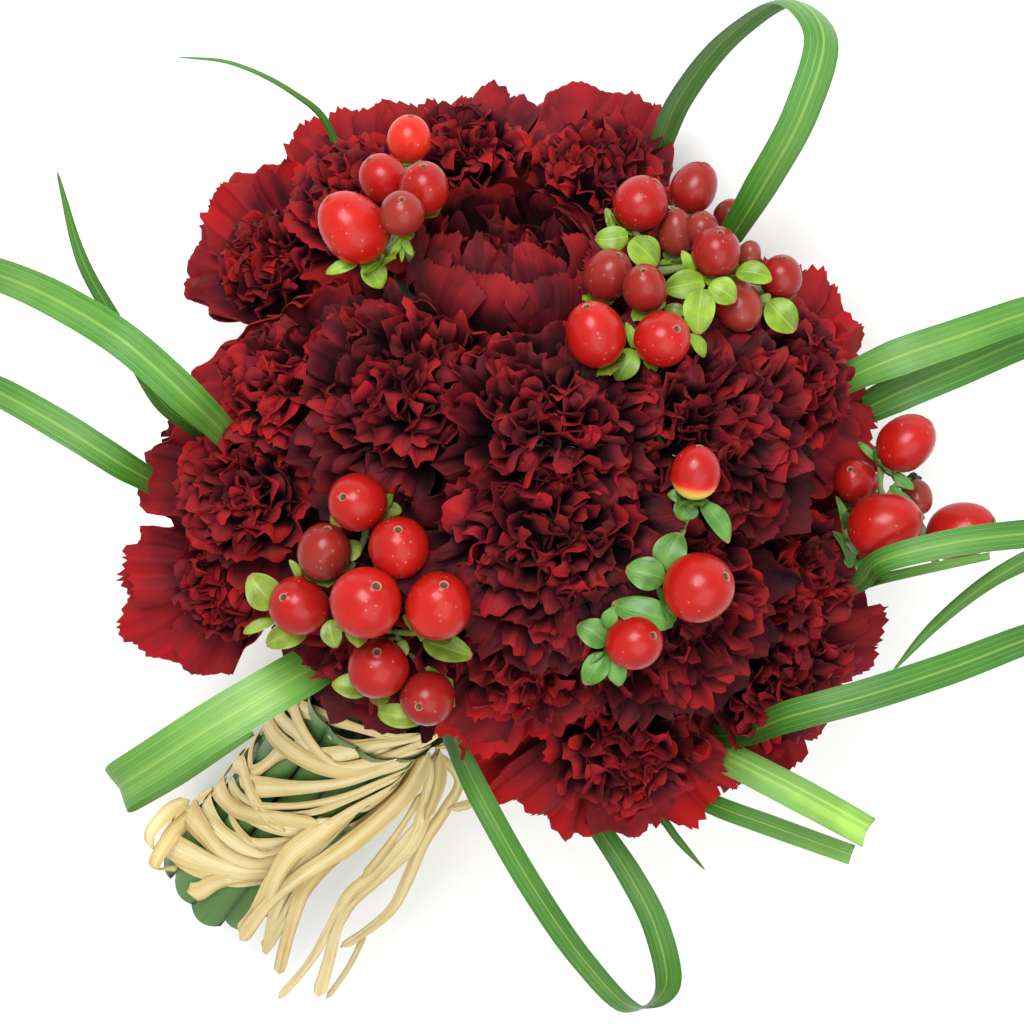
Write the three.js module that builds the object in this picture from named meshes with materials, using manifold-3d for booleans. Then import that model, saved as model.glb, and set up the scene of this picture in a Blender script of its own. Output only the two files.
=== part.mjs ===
// A hand-tied bunch of spray carnations with hypericum berries and grass blades, lying on a surface.
// All lengths are millimetres. The bunch is laid out in a view frame whose origin is the middle of the
// flower dome: +X to the right, +Y up the view, +Z towards the eye that looks down on the bunch.
// At the end it is turned into its resting frame, with +Z up and the stems along -X.

import * as THREE from "three";
import { mergeVertices } from "three/addons/utils/BufferGeometryUtils.js";
import Module from "manifold-3d";

const wasm = await Module();
wasm.setup();

// The eye stands this far over the dome's centre. Its square view is 1024 steps across, each this wide there.
const EYE_DISTANCE = 700;
const VIEW_STEP = 0.2;
const VIEW_MIDDLE = 512;
const VIEW_AXIS = new THREE.Vector2(0.8, -10);

// The handle: the middle of its cut end, and the way it runs up into the dome.
const HANDLE_END = new THREE.Vector3(-59.3, -89.6, -139);
const HANDLE_WAY = new THREE.Vector3(0.386, 0.5, 0.772).normalize();
const BINDING_TOP = 72;
const STEM_BUNDLE_RADIUS = 13.6;
const WRAP_LEAF_RADIUS = 14.6;
const RAFFIA_RADIUS = 16.4;

// Where the bunch lies: the upward direction of the surface, and its height under the dome's centre.
const UP_WAY = new THREE.Vector3(-0.28, -0.4675, 0.8384).normalize();
const FLOOR_HEIGHT = -73;

// Thicknesses and clearances.
const PETAL_THICKNESS = 0.8;
const BLADE_THICKNESS = 0.7;
const GAP = 0.32;
const CELL_MARGIN = 0.3;
const SMOOTHED_AWAY = 0.1;

// A bloom stands this high over the mouth of its calyx, and its heart lies this far up.
const BLOOM_HEIGHT = 26;
const HEART_HEIGHT = 14;
const CALYX_LENGTH = 20;
const CALYX_RADIUS = 4.6;
const CALYX_SHOULDER = 0.3;
const SHOULDER_RADIUS = 3.7;
const BRANCH_RADIUS = 1.3;
const STEM_RADIUS = 1.9;
const STEM_SIDES = 5;
const FORK_STATION = 86;

// A point at a column and row of the view, at a height over the dome's centre.
function seen(column, row, height) {
  const step = (VIEW_STEP * (EYE_DISTANCE - height)) / EYE_DISTANCE;
  return new THREE.Vector3(
    VIEW_AXIS.x + (column - VIEW_MIDDLE) * step,
    VIEW_AXIS.y - (row - VIEW_MIDDLE) * step,
    height,
  );
}

// Repeatable random numbers from 0 to 1.
function seededDraw(seed) {
  let state = seed;
  return () => {
    state = (state + 0x6d2b79f5) | 0;
    let mixed = Math.imul(state ^ (state >>> 15), 1 | state);
    mixed = (mixed + Math.imul(mixed ^ (mixed >>> 7), 61 | mixed)) ^ mixed;
    return ((mixed ^ (mixed >>> 14)) >>> 0) / 4294967296;
  };
}

// Each bloom: the place of its face's centre, the way it faces, its radius, and how closed it is, from 0 for
// an open one to 1 for a bowl.
const bloom = (column, row, height, facing, radius, closed = 0.3) => ({
  face: seen(column, row, height),
  facing: new THREE.Vector3(...facing).normalize(),
  radius,
  closed,
});

// Blooms that share a stem, as on a spray carnation.
const STEM_GROUPS = [
  [
    bloom(236, 250, 6, [-0.82, 0.28, 0.5], 24, 0),
    bloom(334, 168, 18, [-0.45, 0.6, 0.66], 23, 0.4),
    bloom(300, 184, -38, [-0.6, 0.55, -0.58], 23, 0.2),
  ],
  [bloom(507, 224, 36, [0, 0.62, 0.78], 24, 1), bloom(458, 124, 10, [-0.12, 0.8, 0.58], 23, 0.5)],
  [bloom(604, 146, 14, [0.2, 0.75, 0.63], 24, 0.3), bloom(524, 208, -50, [0.05, 0.65, -0.76], 24, 0.1)],
  [bloom(258, 376, 32, [-0.6, 0.2, 0.77], 24, 0.2), bloom(198, 604, 2, [-0.72, -0.47, 0.5], 24, 0)],
  [bloom(216, 496, 24, [-0.68, -0.08, 0.72], 24, 0.1), bloom(184, 468, -26, [-0.82, 0.06, -0.5], 23, 0.1)],
  [bloom(404, 386, 49, [-0.25, 0.2, 0.95], 25.5, 0.4), bloom(394, 610, 36, [-0.3, -0.35, 0.88], 25, 0.3)],
  [bloom(536, 672, 34, [0, -0.6, 0.8], 24, 0.3), bloom(668, 618, 40, [0.34, -0.4, 0.85], 24.5, 0.3)],
  [bloom(556, 420, 57, [0.08, 0.15, 0.98], 25, 0.5), bloom(553, 548, 56, [0.03, -0.17, 0.98], 25, 0.2)],
  [bloom(628, 772, 8, [0.16, -0.78, 0.6], 25, 0.1), bloom(796, 704, 2, [0.58, -0.64, 0.5], 24, 0.1)],
  [bloom(822, 590, 10, [0.78, -0.26, 0.55], 24, 0.2)],
  [bloom(815, 368, 22, [0.72, 0.25, 0.65], 24, 0.6), bloom(748, 336, -48, [0.6, 0.28, -0.75], 24, 0.1)],
  [bloom(712, 424, 45, [0.42, 0.04, 0.9], 25, 0.4), bloom(694, 290, 27, [0.5, 0.52, 0.68], 25, 0.3)],
];

// The layers of petals, from the guard petals in. Each layer is a frill of petals with two teeth each: the
// distance out and height of its edge, and of the valley inside it, the depth of its waves, of its teeth
// and of the cuts between its petals, the number of petals, and the steps round each.
const PETAL_LAYERS = [
  { petals: 5, steps: 4, edge: [21.6, 14.8], valley: [11, 12.8], wave: 1.5, tooth: 1.4, cut: 4.2 },
  { petals: 4, steps: 3, edge: [16.8, 21.2], valley: [8, 17], wave: 1.4, tooth: 1.3, cut: 3.2 },
  { petals: 3, steps: 3, edge: [9.6, 25.4], valley: [0, 20.5], wave: 1.2, tooth: 1, cut: 2 },
];
const BLOOM_FOOT = { radius: 4.1, height: 0.3, sides: 5 };
const UNDERSIDE = { radius: 12, height: 10.6 };
const MODEL_RADIUS = 20;

// Sprays of hypericum. The stalk is the visible top of the stem, from where it leaves the blooms. A berry
// has its centre and radius, and a leaflet the column and row of its tip and the berry under which it grows.
const berry = (column, row, height, radius) => ({ centre: seen(column, row, height), radius });
const leaflet = (column, row, under) => ({ column, row, under });
const LEAFLET_RISE = 0.8;
const LEAFLET_BREADTH = 0.66;
const BERRY_LIFT = 1.3;
const SPRAYS = [
  {
    stalk: [seen(458, 340, 6), seen(424, 280, 28), seen(396, 226, 38)],
    berries: [
      berry(356, 231, 46.5, 6.8),
      berry(384, 180, 39, 4.6),
      berry(424, 188, 45, 4.9),
      berry(402, 214, 53, 4.3),
      berry(408, 138, 31, 4.3),
    ],
    leaflets: [leaflet(334, 276, 0), leaflet(380, 284, 0), leaflet(426, 240, 3)],
  },
  {
    stalk: [seen(592, 352, 0), seen(632, 306, 26), seen(650, 276, 34), seen(706, 262, 30)],
    berries: [
      berry(640, 204, 39, 5.2),
      berry(694, 190, 30, 4.8),
      berry(676, 238, 35, 4.2),
      berry(716, 253, 44, 4.8),
      berry(781, 278, 33, 4.3),
      berry(606, 276, 43, 4.8),
      berry(645, 289, 51, 4.6),
      berry(594, 337, 55, 6.1),
      berry(662, 339, 54, 5.2),
      berry(738, 303, 38, 5.0),
      berry(729, 216, 14, 3.2),
    ],
    leaflets: [
      leaflet(604, 236, 0),
      leaflet(650, 256, 0),
      leaflet(680, 286, 3),
      leaflet(700, 322, 8),
      leaflet(742, 280, 3),
      leaflet(762, 270, 4),
      leaflet(788, 326, 4),
      leaflet(628, 374, 7),
      leaflet(704, 350, 8),
    ],
  },
  {
    stalk: [seen(326, 572, 20), seen(350, 572, 38), seen(392, 632, 38)],
    berries: [
      berry(358, 503, 52, 5.6),
      berry(323, 552, 46, 5.2),
      berry(399, 546, 54, 5.8),
      berry(299, 606, 42, 5.8),
      berry(366, 602, 56, 6.6),
      berry(437, 606, 55, 6.3),
      berry(378, 668, 44, 5.8),
      berry(427, 698, 42, 5.3),
    ],
    leaflets: [
      leaflet(248, 580, 3),
      leaflet(240, 628, 3),
      leaflet(282, 646, 3),
      leaflet(330, 514, 0),
      leaflet(338, 696, 6),
      leaflet(390, 722, 7),
      leaflet(468, 642, 5),
    ],
  },
  {
    stalk: [seen(640, 598, 30), seen(655, 600, 44), seen(682, 528, 50)],
    berries: [berry(695, 473, 59, 4.8), berry(698, 588, 57, 6.6), berry(633, 642, 53, 5.4)],
    leaflets: [
      leaflet(728, 540, 0),
      leaflet(674, 536, 1),
      leaflet(626, 574, 1),
      leaflet(574, 640, 2),
      leaflet(594, 684, 2),
    ],
  },
  {
    stalk: [seen(852, 500, -6), seen(886, 500, 2), seen(912, 528, 2)],
    berries: [
      berry(904, 444, 10, 6.0),
      berry(880, 526, 16, 7.1),
      berry(853, 483, 8, 4.5),
      berry(956, 533, -2, 6.6),
      berry(912, 488, 2, 3.2),
    ],
    leaflets: [
      leaflet(836, 510, 2),
      leaflet(842, 556, 1),
      leaflet(868, 578, 1),
      leaflet(874, 446, 0),
    ],
  },
];
const BERRY_SIDES = 5;
const BERRY_RINGS = 4;
const SPRAY_STEM_RADIUS = 1.5;
const STALK_RADIUS = 0.9;

// Grass blades. Each point has its place, the blade's width there and its turn about its own run, in degrees.
const along = (column, row, height, width, turn = 0) => ({ at: seen(column, row, height), width, turn });
const BLADES = [
  [
    along(236, 448, 20, 5, 12),
    along(186, 396, 40, 7),
    along(125, 342, 44, 7),
    along(59, 301, 38, 7),
    along(0, 275, 28, 6.6),
    along(-70, 256, 10, 5.4),
  ],
  [
    along(166, 492, 0, 4.6, 20),
    along(118, 462, 14, 6.2),
    along(64, 428, 16, 6.6),
    along(0, 392, 12, 6.4),
    along(-70, 362, 2, 5.2),
  ],
  [
    along(208, 440, 8, 3, 20),
    along(158, 398, 24, 3.6),
    along(118, 326, 28, 3.4),
    along(82, 260, 33, 3),
    along(57, 170, 38, 0.8),
  ],
  [
    along(330, 134, 2, 1.6),
    along(290, 91, 12, 1.5),
    along(229, 63, 16, 1.4),
    along(177, 57, 16, 0.8),
  ],
  [
    along(652, 172, -2, 5.4, 40),
    along(690, 97, 16, 7),
    along(742, 36, 27, 7.4),
    along(795, 6, 38, 7.4),
    along(829, 40, 47, 7.4),
    along(806, 112, 46, 7.2),
    along(764, 184, 36, 7),
    along(728, 240, 22, 5.4),
  ],
  [
    along(836, 384, 2, 5.4),
    along(900, 351, 8, 7),
    along(960, 326, 8, 7),
    along(1024, 306, 4, 6.6),
    along(1092, 290, -6, 5.4),
  ],
  [
    along(836, 424, -8, 5.4),
    along(900, 394, -3, 7.2),
    along(960, 366, -3, 7.2),
    along(1024, 341, -7, 6.8),
    along(1092, 320, -15, 5.6),
  ],
  [
    along(842, 588, -4, 3.6, 20),
    along(884, 557, 24, 4.6),
    along(952, 539, 27, 5),
    along(1024, 531, 25, 5),
    along(1074, 530, 15, 5),
    along(1058, 542, 2, 4.6),
    along(996, 566, -4, 4),
    along(938, 618, -10, 3),
    along(891, 673, -14, 0.8),
  ],
  [
    along(722, 736, -2, 4.8, -20),
    along(790, 716, 14, 6.4),
    along(870, 694, 18, 6.6),
    along(950, 668, 16, 6.6),
    along(1024, 640, 10, 6.2),
    along(1088, 618, 2, 5),
  ],
  [
    along(700, 744, -22, 4.4, -10),
    along(756, 776, -6, 6),
    along(814, 804, -4, 6.2),
    along(860, 828, -8, 6),
    along(866, 842, -13, 5.6),
    along(838, 846, -18, 5),
    along(780, 834, -22, 4.4),
    along(712, 800, -28, 4),
  ],
  [
    along(650, 806, -22, 1.8),
    along(680, 842, -19, 1.6),
    along(705, 870, -18, 0.9),
  ],
  [
    along(436, 706, -10, 4.4, 30),
    along(478, 792, 10, 6),
    along(530, 884, 12, 6.2),
    along(584, 962, 6, 6.2),
    along(634, 1010, -4, 6),
    along(668, 988, -18, 6),
    along(656, 926, -26, 5.8),
    along(630, 875, -30, 5.4),
    along(588, 812, -34, 4.4),
  ],
  [
    along(372, 636, 0, 6.6, 10),
    along(304, 672, 22, 9.4),
    along(220, 721, 26, 9.6),
    along(150, 766, 22, 9.6),
    along(117, 788, 15, 9.4),
    along(124, 792, 8, 9.2),
    along(172, 772, 4, 8.6),
    along(250, 732, -2, 6.4),
  ],
];
const BLADE_CREASE = 0.11;
const HALF_ROW_BEND = 0.5;
const BLADE_FOOT_WIDTH = 2.6;
const BLADE_FOOT_ROOM = 0.94;

// Leaves laid along the handle, each with the station of its lower end at one edge, the middle and the other.
const WRAP_LEAVES = [
  [-4, -8, -2],
  [-3, -7, -10],
  [-12, -6, -3],
  [-2, -6, -4],
];
const WRAP_LEAF_TOP = 81;

// Raffia wound round the handle: the stations where it starts and ends, its turns, width, and the swing
// of each turn up and down the handle.
const WINDING = { from: 17, to: 61, turns: 4, width: 6.6, swing: 2.4, sides: 12 };
const RAFFIA_THICKNESS = 1;
const KNOT = seen(421, 748, -98);
const KNOT_RADIUS = 4.2;
const RAFFIA_TAILS = [
  [
    along(424, 752, -98, 3),
    along(360, 830, -92, 3.8, 10),
    along(300, 890, -112, 3.8, 10),
    along(240, 946, -138, 3.2),
  ],
  [
    along(424, 752, -98, 3),
    along(378, 842, -104, 3.6, -10),
    along(318, 908, -126, 3.4),
    along(283, 972, -150, 2.4),
  ],
  [
    along(426, 752, -99, 2.6),
    along(404, 852, -112, 3.2, 20),
    along(340, 928, -134, 2.8, 20),
    along(281, 997, -156, 1.2),
  ],
  [
    along(428, 752, -100, 2.6),
    along(428, 840, -114, 3.2, -20),
    along(372, 928, -136, 2.8),
    along(322, 997, -158, 2.6),
  ],
  [along(426, 748, -98, 2.4), along(450, 800, -98, 2.4, 30), along(478, 800, -100, 1.6, 30)],
];

// A geometry as a closed solid for joining and cutting.
function solidOf(geometry) {
  const bare = geometry.clone();
  bare.deleteAttribute("normal");
  bare.deleteAttribute("uv");
  const merged = mergeVertices(bare, 1e-4);
  const vertProperties = new Float32Array(merged.attributes.position.array);
  const triVerts = new Uint32Array(merged.index.array);
  return new wasm.Manifold(new wasm.Mesh({ numProp: 3, vertProperties, triVerts }));
}

// The largest body of a solid, with its sealed hollows filled and loose scraps dropped.
function largestBody(solid) {
  return solid.decompose().reduce((best, body) => (body.volume() > best.volume() ? body : best));
}

function joined(solids) {
  return solids.reduce((sum, solid) => sum.add(solid));
}

// Adds a thickness to a surface given as points and triangles. Both faces carry the same triangles, and a
// wall closes every edge that belongs to one triangle only.
function slab(points, triangles, thickness) {
  const normals = points.map(() => new THREE.Vector3());
  const edges = new Map();
  for (const [a, b, c] of triangles) {
    const sideA = points[b].clone().sub(points[a]);
    const sideB = points[c].clone().sub(points[a]);
    const normal = sideA.cross(sideB);
    for (const corner of [a, b, c]) normals[corner].add(normal);
    for (const [from, to] of [[a, b], [b, c], [c, a]]) {
      if (!edges.delete(`${to},${from}`)) edges.set(`${from},${to}`, [from, to]);
    }
  }
  const count = points.length;
  const positions = [];
  for (const side of [0.5, -0.5]) {
    points.forEach((point, index) => {
      const offset = normals[index].clone().normalize().multiplyScalar(side * thickness);
      positions.push(...point.clone().add(offset).toArray());
    });
  }
  const index = [];
  for (const [a, b, c] of triangles) {
    index.push(a, b, c, a + count, c + count, b + count);
  }
  for (const [from, to] of edges.values()) {
    index.push(to, from, from + count, to, from + count, to + count);
  }
  const geometry = new THREE.BufferGeometry();
  geometry.setAttribute("position", new THREE.Float32BufferAttribute(positions, 3));
  geometry.setIndex(index);
  return geometry;
}

// A closed skin over rings of points, from a single point at one end to a single point at the other. Rings
// may hold different numbers of points.
function closedSkin(points, counts) {
  const index = [];
  let lowStart = 0;
  for (let ring = 1; ring < counts.length; ring += 1) {
    const low = counts[ring - 1];
    const high = counts[ring];
    const highStart = lowStart + low;
    let a = 0;
    let b = 0;
    while (a < low || b < high) {
      const stepHigh = high > 1 && b < high && (low === 1 || a >= low || (b + 1) / high <= (a + 1) / low);
      const lowPoint = lowStart + (a % low);
      const highPoint = highStart + (b % high);
      if (stepHigh) {
        index.push(lowPoint, highStart + ((b + 1) % high), highPoint);
        b += 1;
      } else if (low > 1 && a < low) {
        index.push(lowPoint, lowStart + ((a + 1) % low), highPoint);
        a += 1;
      } else break;
    }
    lowStart = highStart;
  }
  const geometry = new THREE.BufferGeometry();
  const positions = points.flatMap((point) => point.toArray());
  geometry.setAttribute("position", new THREE.Float32BufferAttribute(positions, 3));
  geometry.setIndex(index);
  return geometry;
}

// A rod along points, with a radius at each: a ring of corners round each point, closed at both ends.
function rod(points, radii, sides) {
  const skin = [points[0].clone()];
  const counts = [1];
  let across = new THREE.Vector3(1, 0.3, 0.2);
  points.forEach((point, index) => {
    const before = points[Math.max(0, index - 1)];
    const after = points[Math.min(points.length - 1, index + 1)];
    const way = after.clone().sub(before).normalize();
    across = across.clone().addScaledVector(way, -across.dot(way)).normalize();
    const other = new THREE.Vector3().crossVectors(way, across);
    const radius = Array.isArray(radii) ? radii[index] : radii;
    for (let side = 0; side < sides; side += 1) {
      const angle = (2 * Math.PI * side) / sides;
      const offset = across.clone().multiplyScalar(Math.cos(angle)).addScaledVector(other, Math.sin(angle));
      skin.push(point.clone().addScaledVector(offset, radius));
    }
    counts.push(sides);
  });
  skin.push(points[points.length - 1].clone());
  counts.push(1);
  return closedSkin(skin, counts);
}

// A frame whose Z axis is the given way.
function frameAlong(way, origin) {
  const turn = new THREE.Quaternion().setFromUnitVectors(new THREE.Vector3(0, 0, 1), way);
  return new THREE.Matrix4().compose(origin, turn, new THREE.Vector3(1, 1, 1));
}

// The handle's own directions: two across it and one along it.
const ACROSS_A = new THREE.Vector3(0, 0, 1).addScaledVector(HANDLE_WAY, -HANDLE_WAY.z).normalize();
const ACROSS_B = new THREE.Vector3().crossVectors(HANDLE_WAY, ACROSS_A);

function handlePoint(station, across) {
  return HANDLE_END.clone()
    .addScaledVector(HANDLE_WAY, station)
    .addScaledVector(ACROSS_A, across.x)
    .addScaledVector(ACROSS_B, across.y);
}

function stationOf(point) {
  return point.clone().sub(HANDLE_END).dot(HANDLE_WAY);
}

function acrossOf(point) {
  const offset = point.clone().sub(HANDLE_END);
  return new THREE.Vector2(offset.dot(ACROSS_A), offset.dot(ACROSS_B));
}

// The stems fan out over the binding: the share of the dome's width that they have at a station.
const FAN_START = 0.2;
const FAN_STATION = 190;
function fanShare(station) {
  const rise = Math.max(0, (station - BINDING_TOP) / (FAN_STATION - BINDING_TOP));
  return FAN_START + (1 - FAN_START) * rise ** 1.15;
}

// Places in the binding: everything that runs down the handle starts at its own place in the dome, drawn
// together, and is pushed apart until nothing overlaps.
function packBundle(members) {
  for (const member of members) {
    member.spread = acrossOf(member.target).divideScalar(fanShare(stationOf(member.target)));
    member.place = member.spread.clone().multiplyScalar(FAN_START);
  }
  for (let round = 0; round < 900; round += 1) {
    for (const member of members) {
      member.place.multiplyScalar(0.996);
      for (const other of members) {
        if (other === member) continue;
        const apart = member.place.clone().sub(other.place);
        const lack = member.radius + other.radius + 2 * GAP - apart.length();
        if (lack > 0) member.place.addScaledVector(apart.normalize(), lack * 0.5);
      }
      const room = STEM_BUNDLE_RADIUS - member.radius;
      if (member.place.length() > room) member.place.setLength(room);
    }
  }
}

// The line of a member from its foot, or from a station on the way, to a target in the dome.
function memberLine(member, stations, target = member.target) {
  const goal = acrossOf(target).divideScalar(fanShare(stationOf(target)));
  const packed = member.place.clone().divideScalar(FAN_START);
  return stations.map((station) => {
    const rise = THREE.MathUtils.clamp((station - BINDING_TOP) / (stationOf(target) - BINDING_TOP), 0, 1);
    return handlePoint(station, packed.clone().lerp(goal, rise).multiplyScalar(fanShare(station)));
  });
}

// Finishes the list of blooms: where each one's calyx and heart are, and the walls between it and the blooms
// beside it.
const blooms = STEM_GROUPS.flat();
for (const flower of blooms) {
  flower.mouth = flower.face.clone().addScaledVector(flower.facing, -BLOOM_HEIGHT);
  flower.heart = flower.mouth.clone().addScaledVector(flower.facing, HEART_HEIGHT);
  flower.calyxFoot = flower.mouth.clone().addScaledVector(flower.facing, -CALYX_LENGTH);
}
for (const flower of blooms) {
  flower.walls = [];
  for (const other of blooms) {
    const between = other.heart.clone().sub(flower.heart);
    if (other === flower || between.length() > 2.6 * MODEL_RADIUS) continue;
    const share = flower.radius / (flower.radius + other.radius);
    flower.walls.push({ distance: between.length() * share - CELL_MARGIN, way: between.normalize() });
  }
}

// Keeps a point of a bloom inside its own cell. The distance from the heart is left alone for most of
// the way to the cell's wall and then eased, so that it comes ever nearer to the wall and never passes it.
const EASE_FROM = 0.86;
function insideCell(point, flower) {
  const ray = point.clone().sub(flower.heart);
  const distance = ray.length();
  ray.divideScalar(distance);
  let reach = Infinity;
  for (const wall of flower.walls) {
    const slope = ray.dot(wall.way);
    if (slope > 0.02) reach = Math.min(reach, wall.distance / slope);
  }
  const share = distance / reach;
  if (share < EASE_FROM) return point;
  const rest = 1 - EASE_FROM;
  const eased = EASE_FROM + rest * (1 - Math.exp(-(share - EASE_FROM) / rest));
  return flower.heart.clone().addScaledVector(ray, eased * reach);
}

// A ring of points round a bloom, each with its own distance out and height.
function bloomRing(count, first, place) {
  return Array.from({ length: count }, (unused, column) => {
    const angle = first + (2 * Math.PI * column) / count;
    const [out, height] = place(column);
    return new THREE.Vector3(out * Math.cos(angle), out * Math.sin(angle), height);
  });
}

// A bloom is one closed skin of rings: it rises from the calyx to the toothed edge of the guard petals, dips
// into the valley behind them, rises to the next edge, and ends in the hollow at the middle.
function bloomSolid(flower, number) {
  const draw = seededDraw(100 + number);
  const scale = flower.radius / MODEL_RADIUS;
  const closed = flower.closed;
  const guard = PETAL_LAYERS[0];
  const first = draw() * 2 * Math.PI;
  const rings = [
    [new THREE.Vector3(0, 0, BLOOM_FOOT.height)],
    bloomRing(BLOOM_FOOT.sides, first, () => [BLOOM_FOOT.radius, BLOOM_FOOT.height]),
    bloomRing(2 * guard.petals, first, () => [UNDERSIDE.radius - 1.6 * closed, UNDERSIDE.height]),
  ];
  for (const [depth, layer] of PETAL_LAYERS.entries()) {
    const start = first + depth * 0.5;
    const count = layer.steps * layer.petals;
    const shapes = Array.from({ length: count }, (unused, column) => {
      const inPetal = column % layer.steps;
      const toothed = inPetal === 0 ? -layer.cut : (inPetal % 2 ? 1 : -1) * layer.tooth;
      const wave = (inPetal % 2 ? 1 : -1) * layer.wave;
      return [toothed + 1.3 * (draw() - 0.5), wave * (0.5 + 0.9 * draw())];
    });
    const lift = (closed * layer.edge[0]) / guard.edge[0];
    const edgeAt = (half) => (column) => {
      const [tooth, wave] = shapes[column];
      const out = layer.edge[0] - 3.4 * lift + tooth;
      return [out - half * 0.45 * lift, layer.edge[1] + 4.4 * lift + wave + half * 0.5 * PETAL_THICKNESS];
    };
    rings.push(bloomRing(count, start, edgeAt(-1)));
    rings.push(bloomRing(count, start, edgeAt(1)));
    const [out, height] = layer.valley;
    const hollow = [new THREE.Vector3(0, 0, height)];
    rings.push(out > 0 ? bloomRing(2 * layer.petals, start, () => [out, height]) : hollow);
  }
  const frame = frameAlong(flower.facing, flower.mouth);
  const points = rings.flat().map((point, index) => {
    const scaled = index > BLOOM_FOOT.sides ? point.multiplyScalar(scale) : point;
    return insideCell(scaled.applyMatrix4(frame), flower);
  });
  return solidOf(closedSkin(points, rings.map((ring) => ring.length)));
}

// A stem with a calyx under each of its blooms. Extra makes it that much fatter, to keep others clear of it.
function stemSolid(group, member, extra = 0) {
  const trunk = memberLine(member, [member.foot, BINDING_TOP, FORK_STATION]);
  const solids = [solidOf(rod(trunk, STEM_RADIUS + extra, STEM_SIDES))];
  for (const flower of group) {
    const span = stationOf(flower.calyxFoot) - FORK_STATION;
    const rising = memberLine(member, [FORK_STATION - 3, FORK_STATION + 0.5 * span], flower.calyxFoot);
    const up = (height) => flower.calyxFoot.clone().addScaledVector(flower.facing, height);
    const line = [...rising, up(-1), up(CALYX_SHOULDER * CALYX_LENGTH), up(CALYX_LENGTH)];
    const radii = [BRANCH_RADIUS, BRANCH_RADIUS, BRANCH_RADIUS, SHOULDER_RADIUS, CALYX_RADIUS];
    solids.push(solidOf(rod(line, radii.map((radius) => radius + extra), STEM_SIDES)));
  }
  return joined(solids);
}

// A leaflet: an oval blade folded slightly along its middle.
function leafletGeometry(root, tip, width, thickness) {
  const way = tip.clone().sub(root);
  const length = way.length();
  way.normalize();
  const side = new THREE.Vector3().crossVectors(way, new THREE.Vector3(0.1, 0.2, 1)).normalize();
  const face = new THREE.Vector3().crossVectors(side, way).normalize();
  const place = (share, across, sink) =>
    root
      .clone()
      .addScaledVector(way, share * length)
      .addScaledVector(side, across * width)
      .addScaledVector(face, sink * width);
  const points = [
    place(0, 0, 0),
    place(0.5, 0.5, 0.14),
    place(1, 0, 0),
    place(0.5, -0.5, 0.14),
  ];
  const triangles = [[0, 2, 1], [0, 3, 2]];
  return slab(points, triangles, thickness);
}

// A spray: its stem, a stalk to each berry, the berries and the leaflets, joined in one body.
function spraySolid(spray, member, extra = 0) {
  const last = stationOf(spray.stalk[0]);
  const stations = [member.foot, BINDING_TOP, 0.5 * (BINDING_TOP + last)];
  const line = [...memberLine(member, stations), ...spray.stalk];
  const radii = line.map((point, index) => extra + (index < 3 ? SPRAY_STEM_RADIUS : 1.2 * STALK_RADIUS));
  const solids = [solidOf(rod(line, radii, 4))];
  const hubs = spray.stalk.slice(1);
  for (const fruit of spray.berries) {
    const near = (a, b) => a.distanceTo(fruit.centre) - b.distanceTo(fruit.centre);
    const hub = [...hubs].sort(near)[0];
    const way = fruit.centre.clone().sub(hub).add(new THREE.Vector3(0, 0, 3)).normalize();
    fruit.base = fruit.centre.clone().addScaledVector(way, -fruit.radius - BERRY_LIFT);
    const stalk = [hub, fruit.base.clone().addScaledVector(way, 1.2 + BERRY_LIFT)];
    solids.push(solidOf(rod(stalk, STALK_RADIUS + extra, 3)));
    const ball = new THREE.SphereGeometry(fruit.radius + extra, BERRY_SIDES, BERRY_RINGS);
    ball.rotateX(Math.PI / 2);
    ball.scale(1, 1, 1.08);
    ball.applyMatrix4(frameAlong(way, fruit.centre));
    solids.push(solidOf(ball));
  }
  for (const leaf of spray.leaflets) {
    const root = spray.berries[leaf.under].base;
    const tip = seen(leaf.column, leaf.row, root.z + LEAFLET_RISE);
    const width = LEAFLET_BREADTH * root.distanceTo(tip) + 2 * extra;
    solids.push(solidOf(leafletGeometry(root, tip, width, BLADE_THICKNESS + 2 * extra)));
  }
  return joined(solids);
}

// A long flat piece: it runs along a smooth line through its points, and its face turns from point to
// point. With a crease its middle lies lower than its edges, as in a grass blade.
function ribbon(path, thickness, crease, extra = 0) {
  const line = new THREE.CatmullRomCurve3(path.map((point) => point.at), false, "centripetal");
  const faces = new THREE.CatmullRomCurve3(path.map((point) => point.face), false, "centripetal");
  const spots = path.flatMap((point, index) => {
    if (!point.shown || index === path.length - 1) return [index];
    const wayHere = line.getTangent(index / (path.length - 1));
    const wayNext = line.getTangent((index + 1) / (path.length - 1));
    const bend = wayHere.angleTo(wayNext);
    return bend > HALF_ROW_BEND ? [index, index + 0.5] : [index];
  });
  const columns = crease > 0 ? [-0.5, 0, 0.5] : [-0.5, 0.5];
  const points = [];
  const triangles = [];
  spots.forEach((spot, row) => {
    const t = spot / (path.length - 1);
    const before = Math.min(path.length - 2, Math.floor(spot));
    const width = THREE.MathUtils.lerp(path[before].width, path[before + 1].width, spot - before) + 2 * extra;
    const way = line.getTangent(t);
    const face = faces.getPoint(t);
    face.addScaledVector(way, -face.dot(way)).normalize();
    const side = new THREE.Vector3().crossVectors(way, face);
    for (const across of columns) {
      const sink = across === 0 ? -crease * width : 0;
      points.push(line.getPoint(t).addScaledVector(side, across * width).addScaledVector(face, sink));
    }
    if (row === 0) return;
    const here = row * columns.length;
    for (let column = 1; column < columns.length; column += 1) {
      const a = here - columns.length + column - 1;
      const b = here + column - 1;
      if (column === 1) triangles.push([a, b + 1, a + 1], [a, b, b + 1]);
      else triangles.push([a, b, a + 1], [b, b + 1, a + 1]);
    }
  });
  return slab(points, triangles, thickness + 2 * extra);
}

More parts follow.
